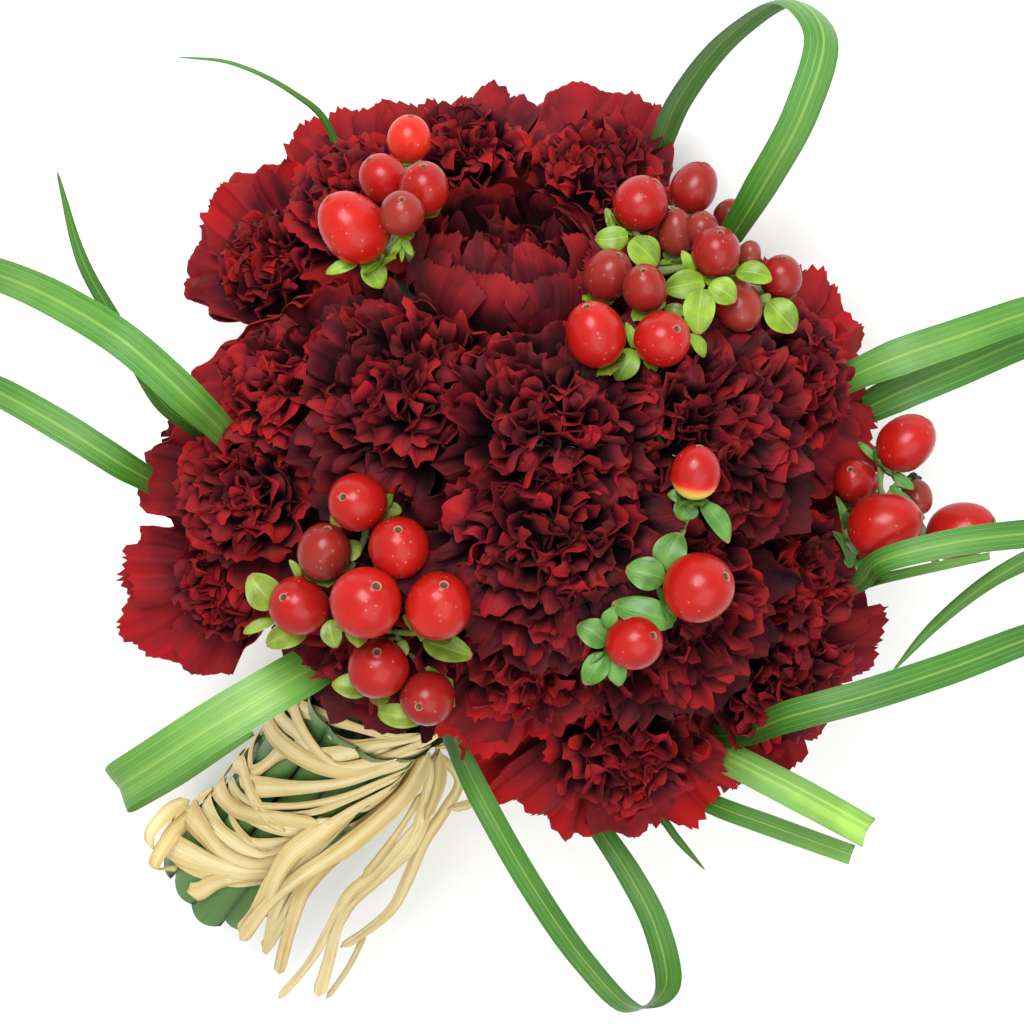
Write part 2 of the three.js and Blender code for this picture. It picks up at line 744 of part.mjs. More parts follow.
// Gives each point of a ribbon the direction of its face. The first face looks at the eye, turned by the
// point's angle. From there it is carried along without twisting, apart from each further point's own turn.
function facedPath(points) {
  const line = new THREE.CatmullRomCurve3(points.map((point) => point.at), false, "centripetal");
  const face = new THREE.Vector3(0, 0, 1);
  return points.map((point, index) => {
    const way = line.getTangent(index / (points.length - 1));
    const previous = line.getTangent(Math.max(0, index - 0.5) / (points.length - 1));
    if (index > 0) face.addScaledVector(previous, -face.dot(previous)).normalize();
    face.addScaledVector(way, -face.dot(way)).normalize();
    face.applyAxisAngle(way, THREE.MathUtils.degToRad(point.turn));
    return { at: point.at, width: point.width, face: face.clone(), shown: true };
  });
}

// A grass blade with its narrow foot, which runs down between the stems to the end of the handle.
function bladeSolid(points, member, extra = 0) {
  const shown = facedPath(points);
  const last = stationOf(points[0].at);
  const foot = memberLine(member, [member.foot, BINDING_TOP, 0.45 * last + 0.55 * BINDING_TOP]).map((at) => {
    const outward = handlePoint(stationOf(at), new THREE.Vector2()).sub(at).negate().normalize();
    if (outward.dot(shown[0].face) < 0) outward.negate();
    return { at, width: BLADE_FOOT_WIDTH, face: outward };
  });
  const crease = points[1].width > 4 ? BLADE_CREASE : 0;
  return solidOf(ribbon([...foot, ...shown], BLADE_THICKNESS, crease, extra));
}

// A leaf laid on the stem bundle, covering its share of the way round.
function wrapLeafSolid(ends, index, extra = 0) {
  const share = (2 * Math.PI) / WRAP_LEAVES.length;
  const halfAngle = share / 2 - (0.5 * GAP - extra) / WRAP_LEAF_RADIUS;
  const points = [];
  const triangles = [];
  const columns = 5;
  const rows = 2;
  for (let row = 0; row <= rows; row += 1) {
    for (let column = 0; column <= columns; column += 1) {
      const across = (2 * column) / columns - 1;
      const angle = index * share + across * halfAngle;
      const low = THREE.MathUtils.lerp(ends[1], across < 0 ? ends[0] : ends[2], Math.abs(across));
      const station = [low - extra, BINDING_TOP - 2, WRAP_LEAF_TOP + extra][row];
      const radius = (WRAP_LEAF_RADIUS * fanShare(station)) / FAN_START;
      const place = new THREE.Vector2(radius * Math.cos(angle), radius * Math.sin(angle));
      points.push(handlePoint(station, place));
      if (row === 0 || column === 0) continue;
      const here = row * (columns + 1) + column;
      const below = here - columns - 1;
      triangles.push([below - 1, below, here], [below - 1, here, here - 1]);
    }
  }
  return solidOf(slab(points, triangles, BLADE_THICKNESS + 2 * extra));
}

// The raffia's turns round the handle, as one strand wound up it.
function raffiaWindingSolid(extra = 0) {
  const points = [];
  const triangles = [];
  const steps = WINDING.turns * WINDING.sides;
  for (let step = 0; step <= steps; step += 1) {
    const share = step / steps;
    const angle = (2 * Math.PI * step) / WINDING.sides;
    const swing = WINDING.swing * Math.sin(angle * 1.25);
    const middle = THREE.MathUtils.lerp(WINDING.from, WINDING.to, share) + swing;
    const place = new THREE.Vector2(RAFFIA_RADIUS * Math.cos(angle), RAFFIA_RADIUS * Math.sin(angle));
    for (const edge of [-0.5, 0.5]) {
      points.push(handlePoint(middle + edge * (WINDING.width + 2 * extra), place));
    }
    if (step === 0) continue;
    const here = 2 * step;
    triangles.push([here - 2, here, here + 1], [here - 2, here + 1, here - 1]);
  }
  return solidOf(slab(points, triangles, RAFFIA_THICKNESS + 2 * extra));
}

function raffiaTailSolid(extra = 0) {
  const knot = new THREE.IcosahedronGeometry(KNOT_RADIUS + extra, 1);
  knot.scale(1, 0.75, 0.7);
  knot.translate(KNOT.x, KNOT.y, KNOT.z);
  const tails = RAFFIA_TAILS.map((tail) =>
    solidOf(ribbon(facedPath(tail), RAFFIA_THICKNESS, 0, extra)),
  );
  return joined([solidOf(knot), ...tails]);
}

// Everything that runs down through the binding.
const stemMembers = STEM_GROUPS.map((group, index) => {
  const target = group.reduce((sum, flower) => sum.add(flower.calyxFoot), new THREE.Vector3());
  return { target: target.divideScalar(group.length), radius: STEM_RADIUS, foot: (index % 3) * 1.5 };
});
const sprayMembers = SPRAYS.map((spray, index) => ({
  target: spray.stalk[0],
  radius: SPRAY_STEM_RADIUS,
  foot: 1 + (index % 2) * 1.5,
}));
const bladeMembers = BLADES.map((points, index) => ({
  target: points[0].at,
  radius: BLADE_FOOT_ROOM,
  foot: 2 + (index % 3),
}));
packBundle([...stemMembers, ...sprayMembers, ...bladeMembers]);

// The pieces in the order in which they hold their place: what comes later is cut clear of what came before.
const pieces = [];
function addPiece(name, finish, build) {
  pieces.push({ name, finish, build });
}
const twoDigits = (number) => String(number).padStart(2, "0");
const FINISHES = {
  stem: { color: 0x4f7a3a, roughness: 0.7 },
  spray: { color: 0xa01a1c, roughness: 0.3 },
  blade: { color: 0x3f8f2f, roughness: 0.45 },
  wrap: { color: 0x2f5a2c, roughness: 0.55 },
  raffia: { color: 0xd9c08a, roughness: 0.8 },
  petal: { color: 0x6e0d18, roughness: 0.85 },
};
STEM_GROUPS.forEach((group, index) => {
  const build = (extra) => stemSolid(group, stemMembers[index], extra);
  addPiece(`carnation_stem_${twoDigits(index + 1)}`, "stem", build);
});
SPRAYS.forEach((spray, index) => {
  addPiece(`hypericum_${index + 1}`, "spray", (extra) => spraySolid(spray, sprayMembers[index], extra));
});
WRAP_LEAVES.forEach((ends, index) => {
  addPiece(`wrap_leaf_${index + 1}`, "wrap", (extra) => wrapLeafSolid(ends, index, extra));
});
addPiece("raffia_wraps", "raffia", raffiaWindingSolid);
addPiece("raffia_knot_and_tails", "raffia", raffiaTailSolid);
BLADES.forEach((points, index) => {
  const build = (extra) => bladeSolid(points, bladeMembers[index], extra);
  addPiece(`grass_blade_${twoDigits(index + 1)}`, "blade", build);
});
blooms.forEach((flower, index) => {
  addPiece(`bloom_${twoDigits(index + 1)}`, "petal", () => bloomSolid(flower, index));
});

function boxesMeet(a, b) {
  return [0, 1, 2].every((axis) => a.min[axis] <= b.max[axis] && b.min[axis] <= a.max[axis]);
}

// The surface that the bunch lies on, as a block under it.
const restTurn = new THREE.Matrix4();
{
  const forward = HANDLE_WAY.clone().addScaledVector(UP_WAY, -HANDLE_WAY.dot(UP_WAY)).normalize();
  const left = new THREE.Vector3().crossVectors(UP_WAY, forward);
  restTurn.makeBasis(forward, left, UP_WAY).transpose();
}
const ground = new THREE.BoxGeometry(800, 800, 60);
ground.translate(0, 0, FLOOR_HEIGHT - 30);
ground.applyMatrix4(restTurn.clone().invert());
const groundSolid = solidOf(ground);

const finished = [];
const inTheWay = [];
for (const piece of pieces) {
  let solid = piece.build(0);
  for (const other of inTheWay) {
    if (boxesMeet(solid.boundingBox(), other.boundingBox())) solid = solid.subtract(other);
  }
  solid = largestBody(solid.subtract(groundSolid).simplify(SMOOTHED_AWAY));
  finished.push({ ...piece, solid });
  if (piece.finish !== "petal") inTheWay.push(piece.build(GAP));
}

// Turns a finished solid into a mesh in the resting frame.
function meshOf({ name, finish, solid }) {
  const { vertProperties, triVerts } = solid.getMesh();
  const geometry = new THREE.BufferGeometry();
  geometry.setAttribute("position", new THREE.Float32BufferAttribute(vertProperties, 3));
  geometry.setIndex([...triVerts]);
  geometry.applyMatrix4(restTurn);
  const material = new THREE.MeshStandardMaterial({ metalness: 0, ...FINISHES[finish] });
  const mesh = new THREE.Mesh(geometry, material);
  mesh.name = name;
  return mesh;
}

const bunch = new THREE.Group();
for (const piece of finished) bunch.add(meshOf(piece));

// The origin is under the middle of the bunch, on the surface that it lies on.
const box = new THREE.Box3().setFromObject(bunch);
const middle = box.getCenter(new THREE.Vector3());
bunch.position.set(-middle.x, -middle.y, -box.min.z);
bunch.updateMatrixWorld(true);

export default bunch;
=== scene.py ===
"""A hand-tied bunch of dark red carnations with hypericum berries and grass blades, lying on a pale surface.

Lengths are millimetres in the view frame until a piece is finished. The view frame has its origin at the
middle of the flower dome, +X to the right, +Y up the view and +Z towards the eye that looks down on it.
Finished pieces are in metres in the resting frame, with +X along the handle to the dome and +Z up.
"""
import logging
import math
from collections.abc import Callable
from dataclasses import dataclass, field
from enum import Enum

import bpy
import numpy as np
from mathutils import Matrix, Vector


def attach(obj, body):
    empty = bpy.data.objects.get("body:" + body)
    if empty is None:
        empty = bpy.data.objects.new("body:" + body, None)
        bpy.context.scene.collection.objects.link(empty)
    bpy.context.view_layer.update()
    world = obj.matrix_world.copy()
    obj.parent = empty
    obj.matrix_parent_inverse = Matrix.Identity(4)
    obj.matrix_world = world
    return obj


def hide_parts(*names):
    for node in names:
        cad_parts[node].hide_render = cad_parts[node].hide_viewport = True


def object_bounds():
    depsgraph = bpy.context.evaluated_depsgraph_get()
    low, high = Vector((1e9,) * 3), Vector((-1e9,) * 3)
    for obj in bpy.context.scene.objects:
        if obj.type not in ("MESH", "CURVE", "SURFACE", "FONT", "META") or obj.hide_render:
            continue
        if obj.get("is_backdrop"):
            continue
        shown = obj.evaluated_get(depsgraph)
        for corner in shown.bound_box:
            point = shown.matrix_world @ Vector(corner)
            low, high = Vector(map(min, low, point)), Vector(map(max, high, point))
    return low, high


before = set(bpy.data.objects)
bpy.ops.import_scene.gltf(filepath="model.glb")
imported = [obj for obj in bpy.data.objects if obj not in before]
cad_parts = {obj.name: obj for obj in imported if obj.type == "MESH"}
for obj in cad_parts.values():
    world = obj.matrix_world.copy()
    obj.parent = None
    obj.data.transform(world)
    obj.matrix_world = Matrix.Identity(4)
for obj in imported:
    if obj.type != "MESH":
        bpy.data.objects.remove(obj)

log = logging.getLogger("bunch")
Array = np.ndarray
Row = tuple[float, ...]
Colour = tuple[float, float, float]
Socket = bpy.types.NodeSocket

MILLIMETRE = 0.001
EYE_DISTANCE = 700.0
VIEW_STEP = 0.2
VIEW_MIDDLE = 512.0
VIEW_AXIS = np.array([0.8, -10.0])
SENSOR_WIDTH = 36.0
HANDLE_END = np.array([-59.3, -89.6, -139.0])
HANDLE_WAY = np.array([0.386, 0.5, 0.772]) / np.linalg.norm([0.386, 0.5, 0.772])
UP_WAY = np.array([-0.28, -0.4675, 0.8384]) / np.linalg.norm([-0.28, -0.4675, 0.8384])
BUNCH_SHIFT = np.array([45.06, -1.42, 73.0])
TO_EYE = np.array([0.0, 0.0, 1.0])
FULL_TURN = 2 * np.pi
ANY_PHASE = (0, 6.3)
FLOOR_EASE = 0.6
BINDING_TOP = 72.0
STEM_BUNDLE_RADIUS = 13.6
WRAP_LEAF_RADIUS = 14.6
WRAP_LEAF_TOP = 81.0
GAP = 0.32
BLOOM_HEIGHT = 26.0
HEART_HEIGHT = 14.0
BOWL_BELLY = 20.0
CALYX_LENGTH = 20.0
CALYX_RADIUS = 4.6
SHOULDER_RADIUS = 3.7
BRANCH_RADIUS = 1.3
STEM_RADIUS = 1.9
SPRAY_STEM_RADIUS = 1.5
FORK_STATION = 86.0
FAN_START = 0.2
FAN_STATION = 190.0
MODEL_RADIUS = 20.0
PETAL_THICKNESS = 0.34
PETAL_LENGTH = 25.0
WALL_OVERLAP = 1.4
WALL_WAVE = 2.6
EASE_FROM = 0.86
BLADE_CREASE = 0.11
BLADE_FOOT_WIDTH = 2.6
BLADE_FOOT_ROOM = 0.94
BLADE_THICKNESS = 0.55


def unit(vectors: Array) -> Array:
    """Each vector divided by its own length."""
    return vectors / np.maximum(np.linalg.norm(vectors, axis=-1, keepdims=True), 1e-9)


def together(*parts: Array | float) -> Array:
    """Numbers or arrays side by side along a new last axis, spread to one shape."""
    return np.stack(np.broadcast_arrays(*parts), -1)


def times(lengths: Array, ways: Array) -> Array:
    """Each direction times its own length."""
    return lengths[..., None] * ways


def spun(angle: Array | float, first: Array, second: Array) -> Array:
    """One direction times an angle's cosine plus another times its sine."""
    angle = np.asarray(angle)[..., None]
    return np.cos(angle) * first + np.sin(angle) * second


def smooth_rise(values: Array, low: float, high: float) -> Array:
    """Rises from 0 at low to 1 at high as three times the square less twice the cube of the share between."""
    share = np.clip((values - low) / (high - low), 0.0, 1.0)
    return share * share * (3.0 - 2.0 * share)


def sheet_shares(rows: int, columns: int) -> tuple[Array, Array]:
    """Places across a sheet from -1 to 1, and along it from 0 to 1, shaped to be combined."""
    return np.linspace(-1.0, 1.0, columns)[None, :], np.linspace(0.0, 1.0, rows)[:, None]


def seen(column: Array | float, row: Array | float, height: Array | float) -> Array:
    """Points at columns and rows of the view, at heights over the dome's middle.

    Args:
        column: the column, from 0 to 1024.
        row: the row, from 0 at the top to 1024.
        height: millimetres towards the eye.

    Returns:
        The point: the offset from the view's middle times the step, which shrinks as the point nears the eye.
    """
    step = VIEW_STEP * (EYE_DISTANCE - height) / EYE_DISTANCE
    upward = VIEW_AXIS[1] - (row - VIEW_MIDDLE) * step
    return together(VIEW_AXIS[0] + (column - VIEW_MIDDLE) * step, upward, height)


def rest_turn() -> Array:
    """The rows of the turn from the view frame to the resting frame: forward, left and up."""
    forward = unit(HANDLE_WAY - UP_WAY * HANDLE_WAY.dot(UP_WAY))
    return np.array([forward, np.cross(UP_WAY, forward), UP_WAY])


REST_TURN = rest_turn()


def to_rest(points: Array) -> Array:
    """Turns view-frame points into metres in the resting frame, and eases what would sink into the floor.

    Args:
        points: positions in millimetres in the view frame.

    Returns:
        Positions in metres. A height under 0.6 mm becomes 0.6 times e to the power of its lack over 2.
    """
    rested = points @ REST_TURN.T + BUNCH_SHIFT
    height = rested[..., 2]
    eased = FLOOR_EASE * np.exp(np.minimum(height - FLOOR_EASE, 0.0) / 2.0)
    rested[..., 2] = np.where(height < FLOOR_EASE, eased, height)
    return rested * MILLIMETRE


def turn_to(way: Array) -> Array:
    """The smallest turn that brings +Z to a direction.

    Args:
        way: the direction.

    Returns:
        The unit matrix, plus the cross matrix of the turn's axis, plus its square over one plus the cosine.
    """
    x, y, z = np.cross(TO_EYE, way)
    cross = np.array([[0, -z, y], [z, 0, -x], [-y, x, 0]])
    return np.eye(3) + cross + cross @ cross / (1.0 + way[2])


@dataclass
class SmoothLine:
    """A smooth line through points: a cubic on each stretch, whose slopes come from the points beside it."""

    points: Array

    def at(self, share: Array) -> Array:
        """Places along the line.

        Args:
            share: numbers from 0 at the first point to 1 at the last, spaced evenly from point to point.

        Returns:
            One position for each number. The stretches are weighed by the square root of their lengths.
        """
        points = self.points
        padded = np.concatenate([2 * points[:1] - points[1:2], points, 2 * points[-1:] - points[-2:-1]])
        spot = np.clip(np.asarray(share), 0.0, 1.0) * (len(points) - 1)
        index = np.minimum(spot.astype(int), len(points) - 2)
        local = (spot - index)[..., None]
        p0, p1, p2, p3 = (padded[index + k] for k in range(4))
        lengths = (np.linalg.norm(b - a, axis=-1, keepdims=True) for a, b in ((p0, p1), (p1, p2), (p2, p3)))
        d0, d1, d2 = (np.maximum(np.sqrt(length), 1e-4) for length in lengths)
        leave = ((p1 - p0) / d0 - (p2 - p0) / (d0 + d1) + (p2 - p1) / d1) * d1
        arrive = ((p2 - p1) / d1 - (p3 - p1) / (d1 + d2) + (p3 - p2) / d2) * d1
        square, cube = local**2, local**3
        start = (2 * cube - 3 * square + 1) * p1 + (cube - 2 * square + local) * leave
        return start + (3 * square - 2 * cube) * p2 + (cube - square) * arrive

    def evenly(self, count: int) -> Array:
        """A number of places from the first point to the last."""
        return self.at(np.linspace(0.0, 1.0, count))

    def way(self, share: Array) -> Array:
        """The direction in which the line runs: the difference of two places close together."""
        share = np.asarray(share)
        return unit(self.at(np.minimum(share + 1e-3, 1.0)) - self.at(np.maximum(share - 1e-3, 0.0)))


def add_object(name: str, data: bpy.types.ID) -> bpy.types.Object:
    """Makes an object of a mesh, a lamp or a camera, and links it to the scene."""
    made = bpy.data.objects.new(name, data)
    bpy.context.scene.collection.objects.link(made)
    return made


@dataclass
class Skin:
    """The closed patches that make up one piece, with what its materials read from them."""

    patches: list[tuple[Array, ...]] = field(default_factory=list)
    count: int = 0

    def add(
        self, points: Array, faces: Array, uv: Array, tone: Array, finish: int, mark: Array | float = 0.0
    ) -> None:
        """Adds a patch.

        Args:
            points: positions in the view frame, in any leading shape.
            faces: corner numbers, four to a face; a triangle repeats its last corner.
            uv: two numbers for each point, for patterns that follow the surface.
            tone: one number for each point, from dark to bright.
            finish: the place of the patch's material in the piece's list.
            mark: one number for each point for a second pattern, such as a berry's scar.
        """
        flat = points.reshape(-1, 3)
        levels = [np.broadcast_to(level, points.shape[:-1]).ravel() for level in (tone, mark)]
        finishes = np.full(len(faces), finish)
        self.patches.append((flat, faces + self.count, finishes, uv.reshape(-1, 2), *levels))
        self.count += len(flat)

    def add_sheets(
        self, grids: Array, thickness: float, uv: Array, tone: Array | float, finish: int = 0
    ) -> None:
        """Adds thin sheets, each with a front and a back that meet along its rim.

        Args:
            grids: positions by row and column, for one sheet or a batch.
            thickness: the distance between the faces away from the rim.
            uv: two numbers for each point of the grids.
            tone: one number for each point of the grids.
            finish: the place of the material.
        """
        grids = grids.reshape(-1, *grids.shape[-3:])
        sheets, rows, columns, _ = grids.shape
        normal = unit(np.cross(np.gradient(grids, axis=2), np.gradient(grids, axis=1)))
        inner = np.zeros((rows, columns), bool)
        inner[1:-1, 1:-1] = True
        lift = normal * inner[None, :, :, None] * (0.5 * thickness)
        top = np.arange(rows * columns).reshape(rows, columns)
        low = top.copy()
        low[inner] = rows * columns + np.arange(inner.sum())
        front = [top[:-1, :-1], top[:-1, 1:], top[1:, 1:], top[1:, :-1]]
        back = [low[:-1, :-1], low[1:, :-1], low[1:, 1:], low[:-1, 1:]]
        quads = np.concatenate([np.stack(front, -1).reshape(-1, 4), np.stack(back, -1).reshape(-1, 4)])
        offsets = np.arange(sheets)[:, None, None] * (rows * columns + int(inner.sum()))
        size = rows * columns
        both = lambda over, under: np.concatenate([over.reshape(sheets, size, -1), under[:, inner]], 1)
        uv = np.broadcast_to(uv, (*grids.shape[:-1], 2))
        tone = np.broadcast_to(tone, grids.shape[:-1])[..., None]
        points = both(grids + lift, grids - lift)
        faces = (quads[None] + offsets).reshape(-1, 4)
        self.add(points, faces, both(uv, uv), both(tone, tone)[..., 0], finish)

    def add_tube(
        self, rings: Array, step: float, tone: Array | float, finish: int = 0, mark: Array | float = 0.0
    ) -> None:
        """Adds a tube over rings of points, closed round and at both ends.

        Args:
            rings: positions by ring and by corner round it.
            step: what one ring adds to the second number of the map.
            tone: one number for each ring, or one for all.
            finish: the place of the material.
            mark: one number for each ring, or one for all.
        """
        count, sides, _ = rings.shape
        points = np.concatenate([rings.reshape(-1, 3), rings[[0, -1]].mean(1)])
        number = np.arange(count * sides).reshape(count, sides)
        beside = np.roll(number, -1, axis=1)
        pole = np.full(sides, count * sides)
        walls = np.stack([number[:-1], beside[:-1], beside[1:], number[1:]], -1).reshape(-1, 4)
        start = np.stack([beside[0], number[0], pole, pole], -1)
        end = np.stack([number[-1], beside[-1], pole + 1, pole + 1], -1)
        around = together(np.arange(sides)[None, :] / sides, np.arange(count)[:, None] * step)
        uv = np.concatenate([around.reshape(-1, 2), [[0.5, 0.0], [0.5, count * step]]])
        spread = lambda values: np.concatenate([np.repeat(values, sides), values[[0, -1]]])
        tones, marks = (spread(np.broadcast_to(level, count)) for level in (tone, mark))
        self.add(points, np.concatenate([walls, start, end]), uv, tones, finish, marks)

    def piece(self, name: str, materials: list[bpy.types.Material], nodes: list[str]) -> None:
        """Makes the Blender object, which stands for CAD nodes and rides on the one body.

        Args:
            name: the object's name.
            materials: the materials, in the order that the patches number them.
            nodes: the CAD nodes that the piece stands for.
        """
        points, faces, finishes, maps, tones, marks = (np.concatenate(part) for part in zip(*self.patches))
        keep = np.ones(faces.shape, bool)
        keep[:, 3] = faces[:, 2] != faces[:, 3]
        corners = faces[keep]
        totals = keep.sum(1)
        mesh = bpy.data.meshes.new(name)
        mesh.vertices.add(len(points))
        mesh.vertices.foreach_set("co", to_rest(points).ravel())
        mesh.loops.add(len(corners))
        mesh.loops.foreach_set("vertex_index", corners.astype(np.int32))
        mesh.polygons.add(len(faces))
        mesh.polygons.foreach_set("loop_start", (np.cumsum(totals) - totals).astype(np.int32))
        mesh.polygons.foreach_set("material_index", finishes.astype(np.int32))
        mesh.polygons.foreach_set("use_smooth", np.ones(len(faces), bool))
        mesh.uv_layers.new(name="UVMap").uv.foreach_set("vector", maps[corners].ravel())
        for label, values in (("tone", tones), ("mark", marks)):
            layer = mesh.attributes.new(label, "FLOAT", "POINT")
            layer.data.foreach_set("value", values.astype(np.float32))
        mesh.update(calc_edges=True)
        mesh.validate()
        mesh.set_sharp_from_angle(angle=math.radians(100.0))
        for material in materials:
            mesh.materials.append(material)
        made = add_object(name, mesh)
        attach(made, "root")
        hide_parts(*nodes)
        log.info("%s: %d triangles", name, int((totals - 2).sum()))


def rings_along(line: Array, radii: Array, sides: int, reference: Array) -> Array:
    """Rings of points round a line, for a tube.

    Args:
        line: positions along the middle.
        radii: the radius at each.
        sides: corners to a ring.
        reference: a direction that the line never runs along.

    Returns:
        Positions by ring and corner: the middle plus the radius times the cosine and sine of the corner's
        angle along two directions square to the line.
    """
    way = unit(np.gradient(line, axis=0))
    first = unit(reference - way * (way @ reference)[:, None])
    second = np.cross(way, first)
    angle = FULL_TURN * np.arange(sides) / sides
    return line[:, None] + np.asarray(radii)[:, None, None] * spun(angle, first[:, None], second[:, None])


ACROSS_A = unit(TO_EYE - HANDLE_WAY * HANDLE_WAY[2])
ACROSS_B = np.cross(HANDLE_WAY, ACROSS_A)


def handle_point(station: Array, across: Array) -> Array:
    """Points at stations along the handle, at two distances across it."""
    station = np.asarray(station, float)
    middle = HANDLE_END + times(station, HANDLE_WAY)
    return middle + across[..., :1] * ACROSS_A + across[..., 1:] * ACROSS_B


def station_of(point: Array) -> float:
    """How far along the handle's line a point lies."""
    return float((point - HANDLE_END) @ HANDLE_WAY)


def across_of(point: Array) -> Array:
    """How far a point lies from the handle's line, in its two directions."""
    return np.array([(point - HANDLE_END) @ ACROSS_A, (point - HANDLE_END) @ ACROSS_B])


def flare(angle: Array, station: Array) -> Array:
    """How far the handle's end stands out: most at the upper left, as one plus the cosine from there."""
    return 2.2 * (1.0 + np.cos(angle + 0.9)) * (1.0 - smooth_rise(station, -18.0, 14.0))


def fan_share(station: Array) -> Array:
    """The share of the dome's width that the stems have: a fifth in the binding, then rising over it."""
    rise = np.maximum(0.0, (np.asarray(station, float) - BINDING_TOP) / (FAN_STATION - BINDING_TOP))
    return FAN_START + (1.0 - FAN_START) * rise**1.15


@dataclass
class Member:
    """Something that runs down through the binding: where it goes, its radius and where its foot is."""

    target: Array
    radius: float
    foot: float
    place: Array = field(default_factory=lambda: np.zeros(2))

    def line(self, stations: Array | list[float], target: Array | None = None) -> Array:
        """Its line between the binding and a target in the dome.

        Args:
            stations: distances along the handle.
            target: where the line goes, if not to the member's own target.

        Returns:
            One position for each station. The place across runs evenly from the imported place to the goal
            above the binding, and is spread by the fan's share.
        """
        target = self.target if target is None else target
        goal = across_of(target) / fan_share(station_of(target))
        where = np.array(stations)
        rise = np.clip((where - BINDING_TOP) / (station_of(target) - BINDING_TOP), 0.0, 1.0)[:, None]
        across = self.place / FAN_START * (1 - rise) + goal * rise
        return handle_point(where, across * fan_share(where)[:, None])


def pack_bundle(members: list[Member]) -> None:
    """Gives every member its place in the binding.

    Each starts at its own place in the dome drawn together, drifts inwards, and is pushed from its
    neighbours by half of what it lacks, round by round, inside the bundle's circle.

    Args:
        members: all that run down through the binding, in order.
    """
    places = [(across_of(m.target) / fan_share(station_of(m.target)) * FAN_START).tolist() for m in members]
    radii = [m.radius for m in members]
    for _ in range(900):
        for index, place in enumerate(places):
            x, y = place[0] * 0.996, place[1] * 0.996
            for other, (ox, oy) in enumerate(places):
                dx, dy = x - ox, y - oy
                apart = math.sqrt(dx * dx + dy * dy)
                lack = radii[index] + radii[other] + 2 * GAP - apart
                if other != index and lack > 0 and apart > 0:
                    x += dx / apart * lack * 0.5
                    y += dy / apart * lack * 0.5
            room = STEM_BUNDLE_RADIUS - radii[index]
            out = math.sqrt(x * x + y * y)
            place[:] = (x * room / out, y * room / out) if out > room else (x, y)
    for member, place in zip(members, places):
        member.place = np.array(place)


class Hue(Enum):
    """The greens of the leaflets, from the yellowest to the dullest."""

    LIME = (0.155, 0.262, 0.016)
    FRESH = (0.062, 0.168, 0.022)
    OLIVE = (0.165, 0.235, 0.026)


class Form(Enum):
    """How a bloom has opened: full of small tips, ringed by guard petals or as a bowl, or under the bunch."""

    FULL = "full"
    RINGED = "ringed"
    BOWL = "bowl"
    UNDER = "under"


@dataclass
class Bloom:
    """One carnation: the place of its face's centre, the way it faces and its radius.

    Raised is the share by which its petals turn from there towards the eye. The next number sets how bright
    its
    guard petals are: partly their own tone from bloom to bloom, and partly painted shade, kept low for the
    blooms under the bunch and between the others; it also lifts the inner petals of a ringed bloom. Spread is
    the share of the full reach that its petals have, and full is how far its outer petals rise to meet the
    blooms beside it.
    guard petals have. A trim is a direction across and up the view and the reach from the heart at which
    the petals stop there.
    """

    column: float
    row: float
    height: float
    facing: Row
    radius: float
    raised: float = 0.0
    guard_tone_and_shade: float = 0.55
    spread: float = 1.0
    full: float = 0.0
    form: Form = Form.RINGED
    inner: float = 1.0
    trims: tuple[Row, ...] = ()

    def __post_init__(self) -> None:
        """Works out the calyx's mouth and foot, the heart, the petals' own axis and the trims."""
        self.axis = unit(np.array(self.facing))
        face = seen(self.column, self.row, self.height)
        mouth = face - self.axis * BLOOM_HEIGHT
        self.heart = mouth + self.axis * HEART_HEIGHT
        self.calyx_foot = mouth - self.axis * CALYX_LENGTH
        self.petal_axis = unit(self.axis * (1.0 - self.raised) + TO_EYE * self.raised)
        self.petal_mouth = self.heart - self.petal_axis * HEART_HEIGHT
        if self.form is Form.BOWL:
            self.petal_axis = unit(np.array([0.0, 0.8, 0.6]))
            self.petal_mouth = face + np.array([0.4, -3.6, -6.0]) - self.petal_axis * BOWL_BELLY
        self.walls = [(reach, unit(np.array([x, y, 0.0])), 0.6) for x, y, reach in self.trims]


# Where the petals of some outer blooms stop short, by the number of the bloom.
TRIMS = {
    1: ((-0.35, -0.94, 11.5), (0.0, 1.0, 20.0), (-1.0, 0.1, 20.6)),
    6: ((1.0, 0.0, 15.6), (0.0, 1.0, 23.5)),
    8: ((-0.5, 0.87, 13.5),),
    9: ((-0.2, -0.98, 21.0), (0.75, -0.66, 8.6)),
    10: ((-0.6, 0.8, 19.5), (-1.0, -0.1, 29.0)),
}
